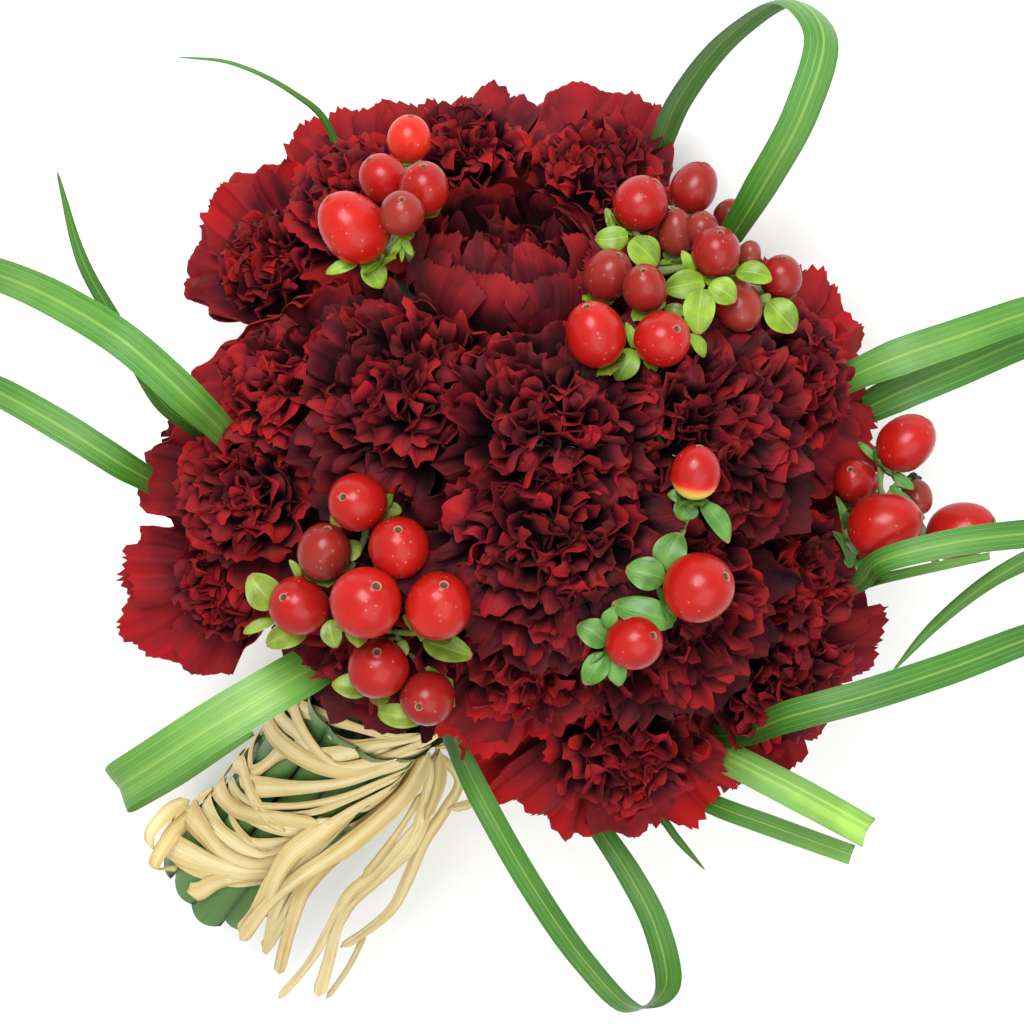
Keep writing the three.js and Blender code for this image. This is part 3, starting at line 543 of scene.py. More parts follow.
# The blooms that each stem carries; they are numbered in this order.
STEM_GROUPS = [
    [
        Bloom(236, 250, 6, (-0.82, 0.28, 0.5), 24, 0.45, 0.92, 0.88, inner=0.58, trims=TRIMS[1]),
        Bloom(334, 168, 18, (-0.45, 0.6, 0.66), 23, 0.3, 0.85, 0.88, inner=0.84),
        Bloom(300, 184, -38, (-0.6, 0.55, -0.58), 23, 0.0, 0.5, 0.76, form=Form.UNDER),
    ],
    [
        Bloom(507, 224, 36, (0, 0.62, 0.78), 24, form=Form.BOWL),
        Bloom(458, 124, 10, (-0.12, 0.8, 0.58), 23, 0.1, 0.85, 1.12, inner=0.7),
    ],
    [
        Bloom(604, 146, 14, (0.2, 0.75, 0.63), 24, 0.25, 0.8, 1.08, inner=0.68, trims=TRIMS[6]),
        Bloom(524, 208, -50, (0.05, 0.65, -0.76), 24, 0.0, 0.5, 0.76, form=Form.UNDER),
    ],
    [
        Bloom(258, 376, 32, (-0.6, 0.2, 0.77), 24, 0.2, 0.86, 0.92, 0.2, inner=0.8, trims=TRIMS[8]),
        Bloom(198, 604, 2, (-0.72, -0.47, 0.5), 24, 0.45, 1.0, 1.0, inner=0.62, trims=TRIMS[9]),
    ],
    [
        Bloom(216, 496, 24, (-0.68, -0.08, 0.72), 24, 0.35, 0.88, 1.26, inner=0.66, trims=TRIMS[10]),
        Bloom(184, 468, -26, (-0.82, 0.06, -0.5), 23, 0.0, 0.5, 0.76, form=Form.UNDER),
    ],
    [
        Bloom(404, 386, 49, (-0.25, 0.2, 0.95), 25.5, 0.0, 0.75, 1.0, 0.6, Form.FULL),
        Bloom(394, 610, 36, (-0.3, -0.35, 0.88), 25, 0.0, 0.72, 1.0, 0.8, Form.FULL),
    ],
    [
        Bloom(536, 672, 34, (0, -0.6, 0.8), 24, 0.1, 1.0, 0.98, 0.3, inner=0.9),
        Bloom(668, 618, 40, (0.34, -0.4, 0.85), 24.5, 0.0, 0.74, 1.0, 0.8, Form.FULL),
    ],
    [
        Bloom(556, 420, 57, (0.08, 0.15, 0.98), 25, 0.0, 0.7, 1.0, 0.9, Form.FULL),
        Bloom(553, 548, 56, (0.03, -0.17, 0.98), 25, 0.0, 0.7, 1.0, 0.9, Form.FULL),
    ],
    [
        Bloom(630, 772, 8, (0.16, -0.78, 0.6), 25, 0.25, 1.0, 1.08, inner=0.82, trims=((0.0, -1.0, 24.5),)),
        Bloom(796, 704, 2, (0.58, -0.64, 0.5), 24, 0.35, 0.75, 0.96, inner=0.9),
    ],
    [Bloom(822, 590, 10, (0.78, -0.26, 0.55), 24, 0.3, 0.68, 0.92, inner=0.9)],
    [
        Bloom(815, 368, 22, (0.72, 0.25, 0.65), 24, 0.25, 0.75, 0.94, inner=0.9),
        Bloom(748, 336, -48, (0.6, 0.28, -0.75), 24, 0.0, 0.5, 0.76, form=Form.UNDER),
    ],
    [
        Bloom(712, 424, 45, (0.42, 0.04, 0.9), 25, 0.0, 0.72, 1.0, 0.8, Form.FULL),
        Bloom(694, 290, 27, (0.5, 0.52, 0.68), 25, 0.2, 0.6, 0.85, 0.3),
    ],
]


@dataclass
class Berry:
    """One hypericum berry: its centre and radius, how bright its skin is and where its tip points.

    The tip is the share of its way to the right and up the view, long is its length over its breadth, and
    pale is how unripe its base is.
    """

    column: float
    row: float
    height: float
    radius: float
    tone: float = 1.0
    tip_across: float = 0.0
    tip_up: float = 0.5
    long: float = 1.06
    pale: float = 0.0

    def __post_init__(self) -> None:
        """Works out the centre, the way of the tip and the base, opposite to it."""
        self.centre = seen(self.column, self.row, self.height)
        upright = math.sqrt(max(0.02, 1.0 - self.tip_across**2 - self.tip_up**2))
        self.way = unit(np.array([self.tip_across, self.tip_up, upright]))
        self.base = self.centre - self.way * (self.radius * self.long + 0.3)


@dataclass
class Leaflet:
    """One small leaf: the columns and rows of its base and tip, its breadth in columns and its height."""

    column: float
    row: float
    tip_column: float
    tip_row: float
    breadth: float
    height: float
    rise: float = 0.0
    fold: float = 0.14

    def __post_init__(self) -> None:
        """Works out the base, the tip and the tip without its rise."""
        self.root = seen(self.column, self.row, self.height)
        self.level_tip = seen(self.tip_column, self.tip_row, self.height)
        self.tip = seen(self.tip_column, self.tip_row, self.height + self.rise)


@dataclass
class Spray:
    """A hypericum stem: its hue, and a row of numbers for each point of its stalk, berry and leaflet."""

    hue: Hue
    stalk_rows: list[Row]
    berry_rows: list[Row]
    leaflet_rows: list[Row]

    def __post_init__(self) -> None:
        """Turns the rows into points, berries and leaflets."""
        self.stalk = [seen(*row) for row in self.stalk_rows]
        self.berries = [Berry(*row) for row in self.berry_rows]
        self.leaflets = [Leaflet(*row) for row in self.leaflet_rows]


# The sprays, each with the points of its stalk from the foot up, its berries and its leaflets.
SPRAYS = [
    Spray(
        Hue.LIME,
        [(458, 340, 6), (424, 280, 28), (396, 226, 38)],
        [
            (355.5, 230.5, 46.5, 6.6, 1.05, -0.62, 0.68, 1.14), (384, 179, 39, 4.7, 0.95, -0.58, 0.66, 1.05),
            (424, 189, 45, 4.9, 0.85, 0.0, 0.74), (402, 214, 53, 4.3, 0.42, 0.02, 0.5),
            (409, 140, 31, 4.4, 1.26, 0.1, 0.9),
        ],
        [
            (366, 262, 382, 288, 25, 44), (358, 262, 326, 273, 13, 44, 1.0), (402, 238, 390, 258, 8, 45),
            (402, 238, 413, 256, 8, 45), (400, 240, 402, 262, 6, 44), (400, 200, 412, 226, 9, 41),
        ],
    ),
    Spray(
        Hue.LIME,
        [(592, 352, 0), (632, 306, 26), (650, 276, 34), (706, 262, 30)],
        [
            (640, 204, 39, 5.3, 0.85, 0.56, 0.76, 1.03), (693, 190, 30, 4.7, 0.6, 0.45, 0.85, 1.12),
            (676, 237, 35, 3.9, 0.35, 0.0, 0.9, 1.25), (716, 253, 44, 4.8, 0.6, 0.12, 0.68),
            (781, 278, 33, 4.2, 0.6, 0.1, 0.8), (607, 277, 43, 4.9, 0.55, 0.36, 0.66, 1.12),
            (645, 290, 51, 4.5, 0.5, -0.08, 0.58, 1.15), (596, 337, 55, 5.9, 1.0, -0.26, 0.76, 1.12),
            (662, 339, 54, 5.3, 1.0, 0.48, 0.31, 1.02), (738, 305, 38, 4.7, 0.5, 0.4, -0.85, 1.08),
            (729, 216, 14, 3.2, 0.5, 0.5, 0.8), (702, 230, 36, 3.4, 0.45, 0.0, 0.8),
            (749, 256, 35, 2.5, 0.2, 0.2, 0.8, 1.15, 0.2),
        ],
        [
            (628, 236, 595, 239, 24, 42, 0.0, 0.05), (631, 240, 657, 266, 31, 43, 0.0, 0.05),
            (704, 281, 664, 289, 27, 45, 0.5), (702, 289, 698, 334, 30, 49, 0.0, 0.04),
            (710, 284, 736, 301, 26, 46), (736, 272, 772, 279, 23, 43, 1.0), (768, 302, 795, 331, 32, 36),
            (690, 334, 705, 357, 14, 48), (634, 350, 616, 380, 25, 50), (634, 348, 626, 322, 10, 50),
            (694, 272, 682, 251, 12, 42, 1.5), (686, 312, 664, 308, 14, 44), (612, 232, 606, 208, 10, 38),
            (758, 306, 770, 294, 12, 35, 1.0),
        ],
    ),
    Spray(
        Hue.OLIVE,
        [(326, 572, 20), (350, 572, 38), (392, 632, 38)],
        [
            (358, 502.5, 52, 5.6, 0.95, -0.42, 0.16), (324, 553, 46, 5.3, 0.5, 0.15, 0.8),
            (399, 548, 54, 5.8, 1.0, 0.0, 0.55, 1.05), (299.5, 606, 42, 5.8, 0.9, -0.44, 0.28, 1.05),
            (366, 602.5, 56, 6.7, 1.05, 0.33, 0.48, 1.0), (438, 607, 55, 6.4, 1.05, 0.17, 0.58, 1.08),
            (378, 668, 44, 5.8, 0.85, 0.0, 0.57, 1.0), (427.5, 698, 42, 5.3, 0.65, -0.27, -0.25, 1.04),
        ],
        [
            (276, 606, 250, 575, 33, 40, 1.0, 0.2), (275, 620, 243, 633, 12, 37),
            (306, 630, 266, 644, 27, 38), (330, 620, 336, 648, 20, 43), (330, 520, 372, 516, 22, 44),
            (340, 556, 362, 544, 20, 44),
            (424, 640, 472, 656, 28, 46, 0.5, 0.2), (384, 506, 402, 512, 14, 46),
            (368, 690, 332, 684, 25, 39, 1.0), (378, 712, 428, 718, 23, 38, 0.5, 0.2),
            (404, 640, 398, 662, 14, 42), (300, 580, 290, 560, 9, 42, 1.5),
        ],
    ),
    Spray(
        Hue.FRESH,
        [(640, 598, 30), (655, 600, 44), (682, 528, 50)],
        [
            (695.5, 474, 59, 4.8, 0.95, 0.12, 0.92, 1.08, 1.0), (698, 588, 57, 6.6, 1.0, 0.72, 0.32, 1.03),
            (633.5, 642, 53, 5.4, 0.95, 0.62, 0.24, 1.04),
        ],
        [
            (700, 502, 730, 542, 21, 56.5), (663, 570, 680, 533, 31, 55), (664, 578, 626, 569, 31, 56),
            (674, 622, 612, 604, 30, 54, 0.0, 0.1), (606, 644, 578, 624, 27, 52),
            (606, 654, 584, 684, 25, 51), (612, 656, 620, 686, 19, 51), (690, 500, 668, 494, 16, 55, 0.5),
            (688, 500, 680, 520, 24, 55, 0.0, 0.25), (604, 652, 590, 664, 5, 52),
            (606, 628, 616, 606, 15, 53, 1.0),
        ],
    ),
    Spray(
        Hue.FRESH,
        [(852, 500, -6), (886, 500, 2), (912, 528, 2)],
        [
            (904, 445, 10, 5.7, 0.95, 0.70, 0.64, 1.12), (881, 526, 16, 6.7, 1.0, 0.9, 0.24, 1.13),
            (856, 483, 8, 4.6, 0.8, -0.3, 0.5, 1.1), (957, 533, -2, 6.4, 1.0, 0.82, 0.3, 1.16),
            (916, 495, 0, 3.4, 0.45, 0.3, -0.8, 1.15),
        ],
        [
            (846, 532, 837, 496, 10, 10, 1.0, 0.25), (852, 566, 834, 531, 14, 8, 1.0, 0.25),
            (856, 560, 874, 580, 18, 8, 0.0, 0.2), (890, 486, 925, 519, 9, 8, 0.0, 0.25),
            (892, 474, 914, 489, 12, 8, 0.5, 0.2), (880, 462, 858, 442, 9, 8, 0.0, 0.2),
            (848, 556, 850, 568, 12, 8),
        ],
    ),
]


@dataclass
class Blade:
    """A grass blade: its strip from the dome outwards, how light it is, and a second strip that shows below.

    A row of a strip has its column, row, height and width and, where it turns about its own run, degrees.
    """

    rows: list[Row]
    light: float = 0.5
    pointed: bool = False
    under: list[Row] = field(default_factory=list)


BLADES = [
    Blade([(236, 448, 20, 5, 12), (186, 396, 40, 7), (125, 342, 44, 7), (59, 301, 38, 7), (0, 275, 28, 6.6),
           (-70, 256, 10, 5.4)], 0.6),
    Blade([(166, 492, 0, 4.6, 20), (118, 462, 14, 6.2), (64, 428, 16, 6.6), (0, 392, 12, 6.4),
           (-70, 362, 2, 5.2)], 0.55),
    Blade([(208, 440, 8, 3, 20), (158, 398, 24, 3.6), (118, 326, 28, 3.4), (82, 260, 33, 3),
           (57, 170, 38, 0.8)], 0.4, True),
    Blade([(332, 134, 2, 1.6), (292, 92, 12, 1.1), (231, 63, 16, 0.8), (177, 57, 16, 0.5)], 0.45, True),
    Blade([(650, 172, -12, 5.4, 40), (682, 97, 10, 7), (734, 34, 27, 7.4), (788, 4, 38, 7.4),
           (821, 38, 47, 7.4), (801, 112, 46, 7.2), (762, 184, 36, 7), (728, 240, 22, 5.4)], 0.5),
    Blade([(832, 386, 2, 5.4), (896, 358, 8, 7.4), (960, 336, 8, 7.2), (1024, 314, 4, 6.8),
           (1092, 294, -6, 5.4)], 0.62),
    Blade([(832, 426, -8, 5.4), (896, 394, -1, 7.6), (960, 367, -1, 7.6), (1024, 340, -5, 7.4),
           (1092, 320, -15, 5.6)], 0.48),
    Blade([(842, 592, -4, 3.6, 10), (884, 560, 24, 4.8, -45), (952, 543, 27, 5.4), (1024, 534, 25, 5.6),
           (1076, 532, 15, 5.4), (1060, 544, 2, 4.6), (994, 578, -4, 3.4, -60), (936, 624, -10, 2.4),
           (891, 673, -14, 0.8)], 0.5, True,
          [(868, 582, -6, 2.4), (884, 578, 2, 2.2), (944, 565, 4, 2.0), (990, 556, 2, 1.6)]),
    Blade([(722, 736, -7, 4.8, -20), (790, 716, 16, 6.4), (870, 694, 19, 6.6), (950, 668, 16, 6.6),
           (1024, 640, 10, 6.2), (1088, 618, 2, 5)], 0.4),
    Blade([(690, 740, -22, 5.0, -10), (726, 757, -8, 6.6), (800, 795, -4, 6.9), (846, 820, -8, 6.7),
           (869, 833, -12, 6.4)], 0.9, False,
          [(672, 782, -26, 4.0), (712, 804, -20, 4.3), (774, 827, -16, 4.4), (852, 855, -18, 4.2)]),
    Blade([(650, 806, -22, 1.8), (680, 842, -19, 1.6), (705, 870, -18, 0.9)], 0.3, True),
    Blade([(436, 706, -10, 4.4, 30), (478, 792, 10, 6), (530, 884, 12, 6.2), (584, 962, 6, 6.2),
           (634, 1010, -4, 6), (668, 988, -18, 6), (656, 926, -26, 5.8), (630, 875, -30, 5.4),
           (588, 812, -34, 4.4)], 0.5),
    Blade([(372, 636, 0, 6.6, 10), (304, 672, 22, 9.4), (220, 721, 26, 9.6), (150, 766, 22, 9.6),
           (117, 788, 15, 9.4), (124, 792, 8, 9.0), (176, 768, 4, 7.2), (250, 728, -2, 3.6)], 0.76),
]


@dataclass
class Nodes:
    """The nodes of one tree, each made with all its inputs."""

    tree: bpy.types.NodeTree

    def add(
        self, kind: str, inputs: dict[str | int, Socket | float | Colour], **choices: object
    ) -> bpy.types.Node:
        """Adds a node.

        Args:
            kind: the node's type, without its leading ShaderNode.
            inputs: a socket, a number or a colour for each input, by name or place.
            choices: the node's own settings.

        Returns:
            The node.
        """
        node = self.tree.nodes.new("ShaderNode" + kind)
        for name, choice in choices.items():
            setattr(node, name, choice)
        for place, value in inputs.items():
            if isinstance(value, Socket):
                self.tree.links.new(value, node.inputs[place])
            else:
                node.inputs[place].default_value = (*value, 1.0) if isinstance(value, tuple) else value
        return node

    def math(self, operation: str, first: Socket, second: Socket | float = 0, clamp: bool = False) -> Socket:
        """The result of a Math node, which stays from 0 to 1 if it is clamped."""
        return self.add("Math", {0: first, 1: second}, operation=operation, use_clamp=clamp).outputs[0]

    def spread(self, value: Socket, low: float, high: float, bottom: float = 0.0, top: float = 1.0) -> Socket:
        """Maps a number between two limits onto two others."""
        limits = {"From Min": low, "From Max": high, "To Min": bottom, "To Max": top}
        return self.add("MapRange", {"Value": value, **limits}).outputs[0]


Sockets = bpy.types.bpy_prop_collection
Stops = tuple[tuple[float, Colour], ...]


def new_group(name: str, inputs: dict[str, float], outputs: list[str]) -> tuple[Nodes, Sockets, Sockets]:
    """Starts a shader node group.

    Args:
        name: the group's name.
        inputs: the value inputs with their defaults.
        outputs: the names of its value outputs.

    Returns:
        The group's nodes, the sockets that it is given and those that it fills.
    """
    group = bpy.data.node_groups.new(name, "ShaderNodeTree")
    for label, value in inputs.items():
        socket = group.interface.new_socket(name=label, in_out="INPUT", socket_type="NodeSocketFloat")
        socket.default_value = value
    for label in outputs:
        group.interface.new_socket(name=label, in_out="OUTPUT", socket_type="NodeSocketFloat")
    return Nodes(group), group.nodes.new("NodeGroupInput").outputs, group.nodes.new("NodeGroupOutput").inputs


def running_lines() -> bpy.types.NodeTree:
    """The node group of fine lines that run along a petal, blade or strand, drawn out on its own map."""
    sizes = {"Across": 20.0, "Along": 1.0, "Contrast": 1.0}
    nodes, given, made = new_group("running_lines", sizes, ["Lines", "Place Across"])
    parts = nodes.add("SeparateXYZ", {0: nodes.add("UVMap", {}, uv_map="UVMap").outputs[0]}).outputs
    drawn_out = {place: nodes.math("MULTIPLY", parts[place], given[place]) for place in (0, 1)}
    vector = nodes.add("CombineXYZ", drawn_out).outputs[0]
    settings = {"Vector": vector, "Scale": 1.0, "Detail": 3.0, "Roughness": 0.6}
    noise = nodes.add("TexNoise", settings).outputs[0]
    widened = nodes.math("MULTIPLY", nodes.math("SUBTRACT", noise, 0.5), given["Contrast"])
    nodes.tree.links.new(nodes.math("ADD", widened, 0.5, True), made["Lines"])
    nodes.tree.links.new(nodes.math("FRACT", parts[0]), made["Place Across"])
    return nodes.tree


def soft_blotches() -> bpy.types.NodeTree:
    """The node group of soft cloudy patches and small specks, placed by Object coordinates."""
    scales = {"Scale": 120.0, "Speck Scale": 900.0}
    nodes, given, made = new_group("soft_blotches", scales, ["Blotches", "Specks"])
    where = nodes.add("TexCoord", {}).outputs["Object"]
    cloud = nodes.add("TexNoise", {"Vector": where, "Scale": given["Scale"], "Detail": 3.0}).outputs[0]
    cells = nodes.add("TexVoronoi", {"Vector": where, "Scale": given["Speck Scale"]}).outputs["Distance"]
    nodes.tree.links.new(nodes.spread(cloud, 0.32, 0.68), made["Blotches"])
    nodes.tree.links.new(nodes.spread(cells, 0.16, 0.06), made["Specks"])
    return nodes.tree


LINES = running_lines()
BLOTCHES = soft_blotches()


class MaterialMaker(Nodes):
    """A material under construction: its nodes, its one shader, and the shared effects placed in it."""

    def __init__(self, name: str) -> None:
        """Makes the material with its Principled shader."""
        self.material = bpy.data.materials.new(name)
        self.material.use_nodes = True
        super().__init__(self.material.node_tree)
        self.shader = self.tree.nodes["Principled BSDF"]

    def attribute(self, name: str) -> Socket:
        """A number that the piece's points carry."""
        return self.add("Attribute", {}, attribute_name=name).outputs["Fac"]

    def lines(self, across: float, along: float, contrast: float) -> Sockets:
        """The fine lines and the place across them, with their counts over the map and their contrast."""
        return self.add("Group", {0: across, 1: along, 2: contrast}, node_tree=LINES).outputs

    def clouds(self, scale: float, speck_scale: float = 900.0) -> Sockets:
        """The soft blotches and the specks, by how many fit in a metre."""
        return self.add("Group", {0: scale, 1: speck_scale}, node_tree=BLOTCHES).outputs

    def ramp(self, value: Socket, stops: Stops) -> Socket:
        """The colour at a number, between stops that each have a place from 0 to 1 and a colour."""
        node = self.add("ValToRGB", {0: value})
        band = node.color_ramp.elements
        while len(band) < len(stops):
            band.new(1.0)
        for element, (place, colour) in zip(band, stops):
            element.position = place
            element.color = (*colour, 1.0)
        return node.outputs[0]

    def mix(self, share: Socket, first: Socket, second: Socket | Colour) -> Socket:
        """Two colours mixed by the share of the second."""
        return self.add("Mix", {0: share, 6: first, 7: second}, data_type="RGBA").outputs[2]

    def bump(self, height: Socket, distance: float, strength: float) -> None:
        """Raises the surface by a pattern, with the distance in metres."""
        node = self.add("Bump", {"Height": height, "Distance": distance, "Strength": strength})
        self.tree.links.new(node.outputs[0], self.shader.inputs["Normal"])

    def finish(self, colour: Socket, roughness: Socket, plain: dict[str, float | Row]) -> bpy.types.Material:
        """Connects the colour and the roughness and sets the shader's plain sockets.

        Args:
            colour: the colour socket.
            roughness: the roughness socket.
            plain: values by socket name.

        Returns:
            The finished material.
        """
        self.tree.links.new(colour, self.shader.inputs["Base Color"])
        self.tree.links.new(roughness, self.shader.inputs["Roughness"])
        for label, value in plain.items():
            self.shader.inputs[label].default_value = value
        return self.material


@dataclass(frozen=True)
class Finish:
    """The finish of something grown: colours by its tone, varied by lines along it and by clouds.

    The lines and clouds each come with their sizes and with what they add to the tone at least and at most.
    The ridge is the height of the lines, in metres, and its strength. The roughness goes with the lines or
    with the clouds.
    """

    name: str
    stops: Stops
    lines: Row
    line_tone: Row
    clouds: float
    cloud_tone: Row
    ridge: Row
    rough: Row
    plain: dict[str, float | Row] = field(default_factory=dict)
    rough_by: str = "Lines"
    toned: bool = True

    def material(self) -> bpy.types.Material:
        """Builds the material."""
        maker = MaterialMaker(self.name)
        lines, clouds = maker.lines(*self.lines), maker.clouds(self.clouds)
        patterns = {"Lines": lines["Lines"], "Blotches": clouds["Blotches"]}
        lined = maker.spread(patterns["Lines"], 0.0, 1.0, *self.line_tone)
        level = maker.math("ADD", lined, maker.spread(patterns["Blotches"], 0.0, 1.0, *self.cloud_tone))
        if self.toned:
            level = maker.math("ADD", maker.attribute("tone"), level)
        maker.bump(patterns["Lines"], *self.ridge)
        rough = maker.spread(patterns[self.rough_by], 0.0, 1.0, *self.rough)
        return maker.finish(self.colour(maker, level, lines["Place Across"]), rough, self.plain)

    def colour(self, maker: MaterialMaker, level: Socket, across: Socket) -> Socket:
        """The colour.

        Args:
            maker: the material under construction.
            level: how bright the spot is.
            across: the place across the petal, blade or leaf, from 0 to 1; not used by this plain finish.

        Returns:
            The colour of the stops at the level.
        """
        return maker.ramp(level, self.stops)


class LeafletFinish(Finish):
    """Small smooth leaflets, lighter along the middle and browned at the very tip."""

    def colour(self, maker: MaterialMaker, level: Socket, across: Socket) -> Socket:
        """The colour of the stops, with the last one along the midrib and brown where the tone ends."""
        middle = maker.math("ABSOLUTE", maker.math("SUBTRACT", across, 0.5))
        rib = maker.spread(middle, 0.06, 0.0, 0.0, 0.6)
        ribbed = maker.mix(rib, maker.ramp(level, self.stops), self.stops[-1][1])
        return maker.mix(maker.spread(maker.attribute("tone"), 0.9, 1.0), ribbed, (0.28, 0.12, 0.05))


class GrassFinish(Finish):
    """Long grass blades: broad bands, thin yellow-green lines and a pale midrib on a glossy green."""

    def colour(self, maker: MaterialMaker, level: Socket, across: Socket) -> Socket:
        """The colour of the stops, striped where a sine of the place across passes 0, and ribbed."""
        stripe = (0.34, 0.46, 0.09)
        banded = maker.spread(maker.lines(7.0, 0.006, 1.5)["Lines"], 0.0, 1.0, -0.13, 0.13)
        body = maker.ramp(maker.math("ADD", level, banded), self.stops)
        waves = maker.math("ABSOLUTE", maker.math("SINE", maker.math("MULTIPLY", across, 18.85)))
        striped = maker.mix(maker.spread(waves, 0.16, 0.04, 0.0, 0.35), body, stripe)
        middle = maker.math("ABSOLUTE", maker.math("SUBTRACT", across, 0.5))
        return maker.mix(maker.spread(middle, 0.06, 0.015, 0.0, 0.26), striped, stripe)


# The petals go from near-black, the painted shade of the hollows, over deep red and crimson to the bright
# guard petals.
PETAL_FINISH = Finish(
    "carnation_petal",
    (
        (0.0, (0.010, 0.0026, 0.0038)),
        (0.3, (0.062, 0.0055, 0.0085)),
        (0.62, (0.188, 0.0085, 0.0115)),
        (1.0, (0.315, 0.0065, 0.0075)),
    ),
    lines=(11.0, 0.7, 1.6),
    line_tone=(-0.12, 0.1),
    clouds=170.0,
    cloud_tone=(-0.15, 0.09),
    ridge=(0.0004, 0.55),
    rough=(0.58, 0.74),
    plain={
        "Specular IOR Level": 0.07,
        "Sheen Weight": 0.02,
        "Sheen Roughness": 0.4,
        "Sheen Tint": (0.9, 0.35, 0.4, 1.0),
    },
)
GRASS_FINISH = GrassFinish(
    "grass_blade",
    (
        (0.0, (0.010, 0.065, 0.006)),
        (0.45, (0.040, 0.155, 0.014)),
        (0.85, (0.138, 0.300, 0.054)),
        (1.0, (0.32, 0.56, 0.09)),
    ),
    lines=(34.0, 0.012, 1.8),
    line_tone=(-0.09, 0.09),
    clouds=45.0,
    cloud_tone=(-0.1, 0.1),
    ridge=(0.00025, 0.5),
    rough=(0.3, 0.46),
    plain={"Specular IOR Level": 0.36},
)
# The broad leaves are painted nearly black where two of them meet, as the shade between them.
WRAP_LEAF_FINISH = Finish(
    "wrap_leaf",
    ((0.0, (0.006, 0.012, 0.006)), (0.3, (0.030, 0.095, 0.016)), (1.0, (0.105, 0.24, 0.042))),
    lines=(26.0, 0.02, 1.5),
    line_tone=(-0.14, 0.14),
    clouds=70.0,
    cloud_tone=(-0.1, 0.1),
    ridge=(0.0003, 0.5),
    rough=(0.34, 0.5),
    plain={"Specular IOR Level": 0.45},
    rough_by="Blotches",
)
# The raffia is matt: brown where shade is painted in its creases and at its edges, then tan, then straw.
RAFFIA_FINISH = Finish(
    "raffia_strand",
    ((0.0, (0.34, 0.20, 0.06)), (0.4, (0.65, 0.48, 0.185)), (0.85, (0.84, 0.71, 0.385))),
    lines=(16.0, 0.02, 1.7),
    line_tone=(-0.24, 0.24),
    clouds=80.0,
    cloud_tone=(-0.1, 0.1),
    ridge=(0.0004, 0.7),
    rough=(0.5, 0.72),
    plain={"Specular IOR Level": 0.3},
)


def stem_finish(name: str, dark: Colour, light: Colour) -> Finish:
    """Waxy stems and calyxes, green by patches and fine lines with a satin skin."""
    stops = ((0.1, dark), (0.9, light))
    sizes = ((9.0, 0.5, 1.4), (0.0, 0.36), 90.0, (0.0, 0.6))
    return Finish(name, stops, *sizes, (0.0002, 0.5), (0.42, 0.58), {}, "Blotches", False)


def leaflet_finish(hue: Hue) -> LeafletFinish:
    """The leaflets of one hue, from a darker to a paler green of it."""
    dark = tuple(0.55 * part for part in hue.value)
    pale = tuple(min(1.0, 1.35 * part + 0.015) for part in hue.value)
    stops = ((0.1, dark), (0.55, hue.value), (1.0, pale))
    sizes = ((9.0, 2.0, 1.2), (0.0, 0.31), 260.0, (0.0, 0.62))
    shine = {"Specular IOR Level": 0.3}
    name = f"leaflet_{hue.name.lower()}"
    return LeafletFinish(name, stops, *sizes, (0.0002, 0.4), (0.32, 0.45), shine, "Blotches", False)


@dataclass(frozen=True)
class BerryFinish:
    """Glossy hypericum berries: bright or dull red, with a dry scar at the tip, and one pale at its base."""

    stops: Stops = (
        (0.12, (0.185, 0.030, 0.019)),
        (0.32, (0.20, 0.0065, 0.0055)),
        (0.52, (0.31, 0.0065, 0.0045)),
        (0.68, (0.50, 0.022, 0.009)),
        (1.0, (0.62, 0.46, 0.08)),
    )
    scar: Stops = ((0.5, (0.30, 0.14, 0.07)), (0.8, (0.07, 0.034, 0.018)))
    speck: Colour = (0.62, 0.24, 0.18)

    def material(self) -> bpy.types.Material:
        """Red by tone and patches, with a few pale specks, a rimmed scar and a soft gloss."""
        maker = MaterialMaker("hypericum_berry")
        clouds = maker.clouds(130.0, 520.0)
        patchy = maker.spread(clouds["Blotches"], 0.0, 1.0, -0.1, 0.1)
        level = maker.math("MULTIPLY", maker.math("ADD", maker.attribute("tone"), patchy), 0.5)
        specks = maker.math("MULTIPLY", clouds["Specks"], 0.3)
        specked = maker.mix(specks, maker.ramp(level, self.stops), self.speck)
        mark = maker.attribute("mark")
        scarred = maker.mix(maker.spread(mark, 0.15, 0.4), specked, maker.ramp(mark, self.scar))
        maker.bump(mark, 0.0005, 0.4)
        gloss = {"Coat Weight": 0.1, "Coat Roughness": 0.2, "Specular IOR Level": 0.18}
        return maker.finish(scarred, maker.spread(mark, 0.2, 0.6, 0.3, 0.85), gloss)


@dataclass(frozen=True)
class SurfaceFinish:
    """The plain pale surface that the bunch lies on."""

    pale: Colour = (0.92, 0.92, 0.915)

    def material(self) -> bpy.types.Material:
        """Nearly white, with a barely seen unevenness."""
        maker = MaterialMaker("pale_surface")
        patches = maker.clouds(6.0)["Blotches"]
        colour = maker.ramp(patches, ((0.0, tuple(0.985 * part for part in self.pale)), (1.0, self.pale)))
        return maker.finish(colour, maker.spread(patches, 0.0, 1.0, 0.75, 0.85), {})


@dataclass(frozen=True)
class PetalLayer:
    """A ring of petals in a bloom of 20 mm radius.

    The middle of a petal is a curve of the second degree from its claw over a bend to its tip, given as
    distances out from the axis and heights over the calyx, in millimetres. The grid is its columns and rows.
    Start is where it begins along that curve. Twist and curl are in degrees, and the tone goes from the
    petal's foot to its rim, with the foot painted dark as the shade deep in the bloom. Pleats grow from a
    share of the length, and the curl has a length of its own.
    """

    petals: int
    claw: Row
    bend: Row
    tip: Row
    breadth: float
    grid: tuple[int, int]
    start: float
    twist: float
    curl: Row
    tone: Row
    ruffle: float = 0.95
    waves: float = 1.5
    tooth: float = 0.9
    pleat_from: float = 0.4
    curl_length: float = 2.8


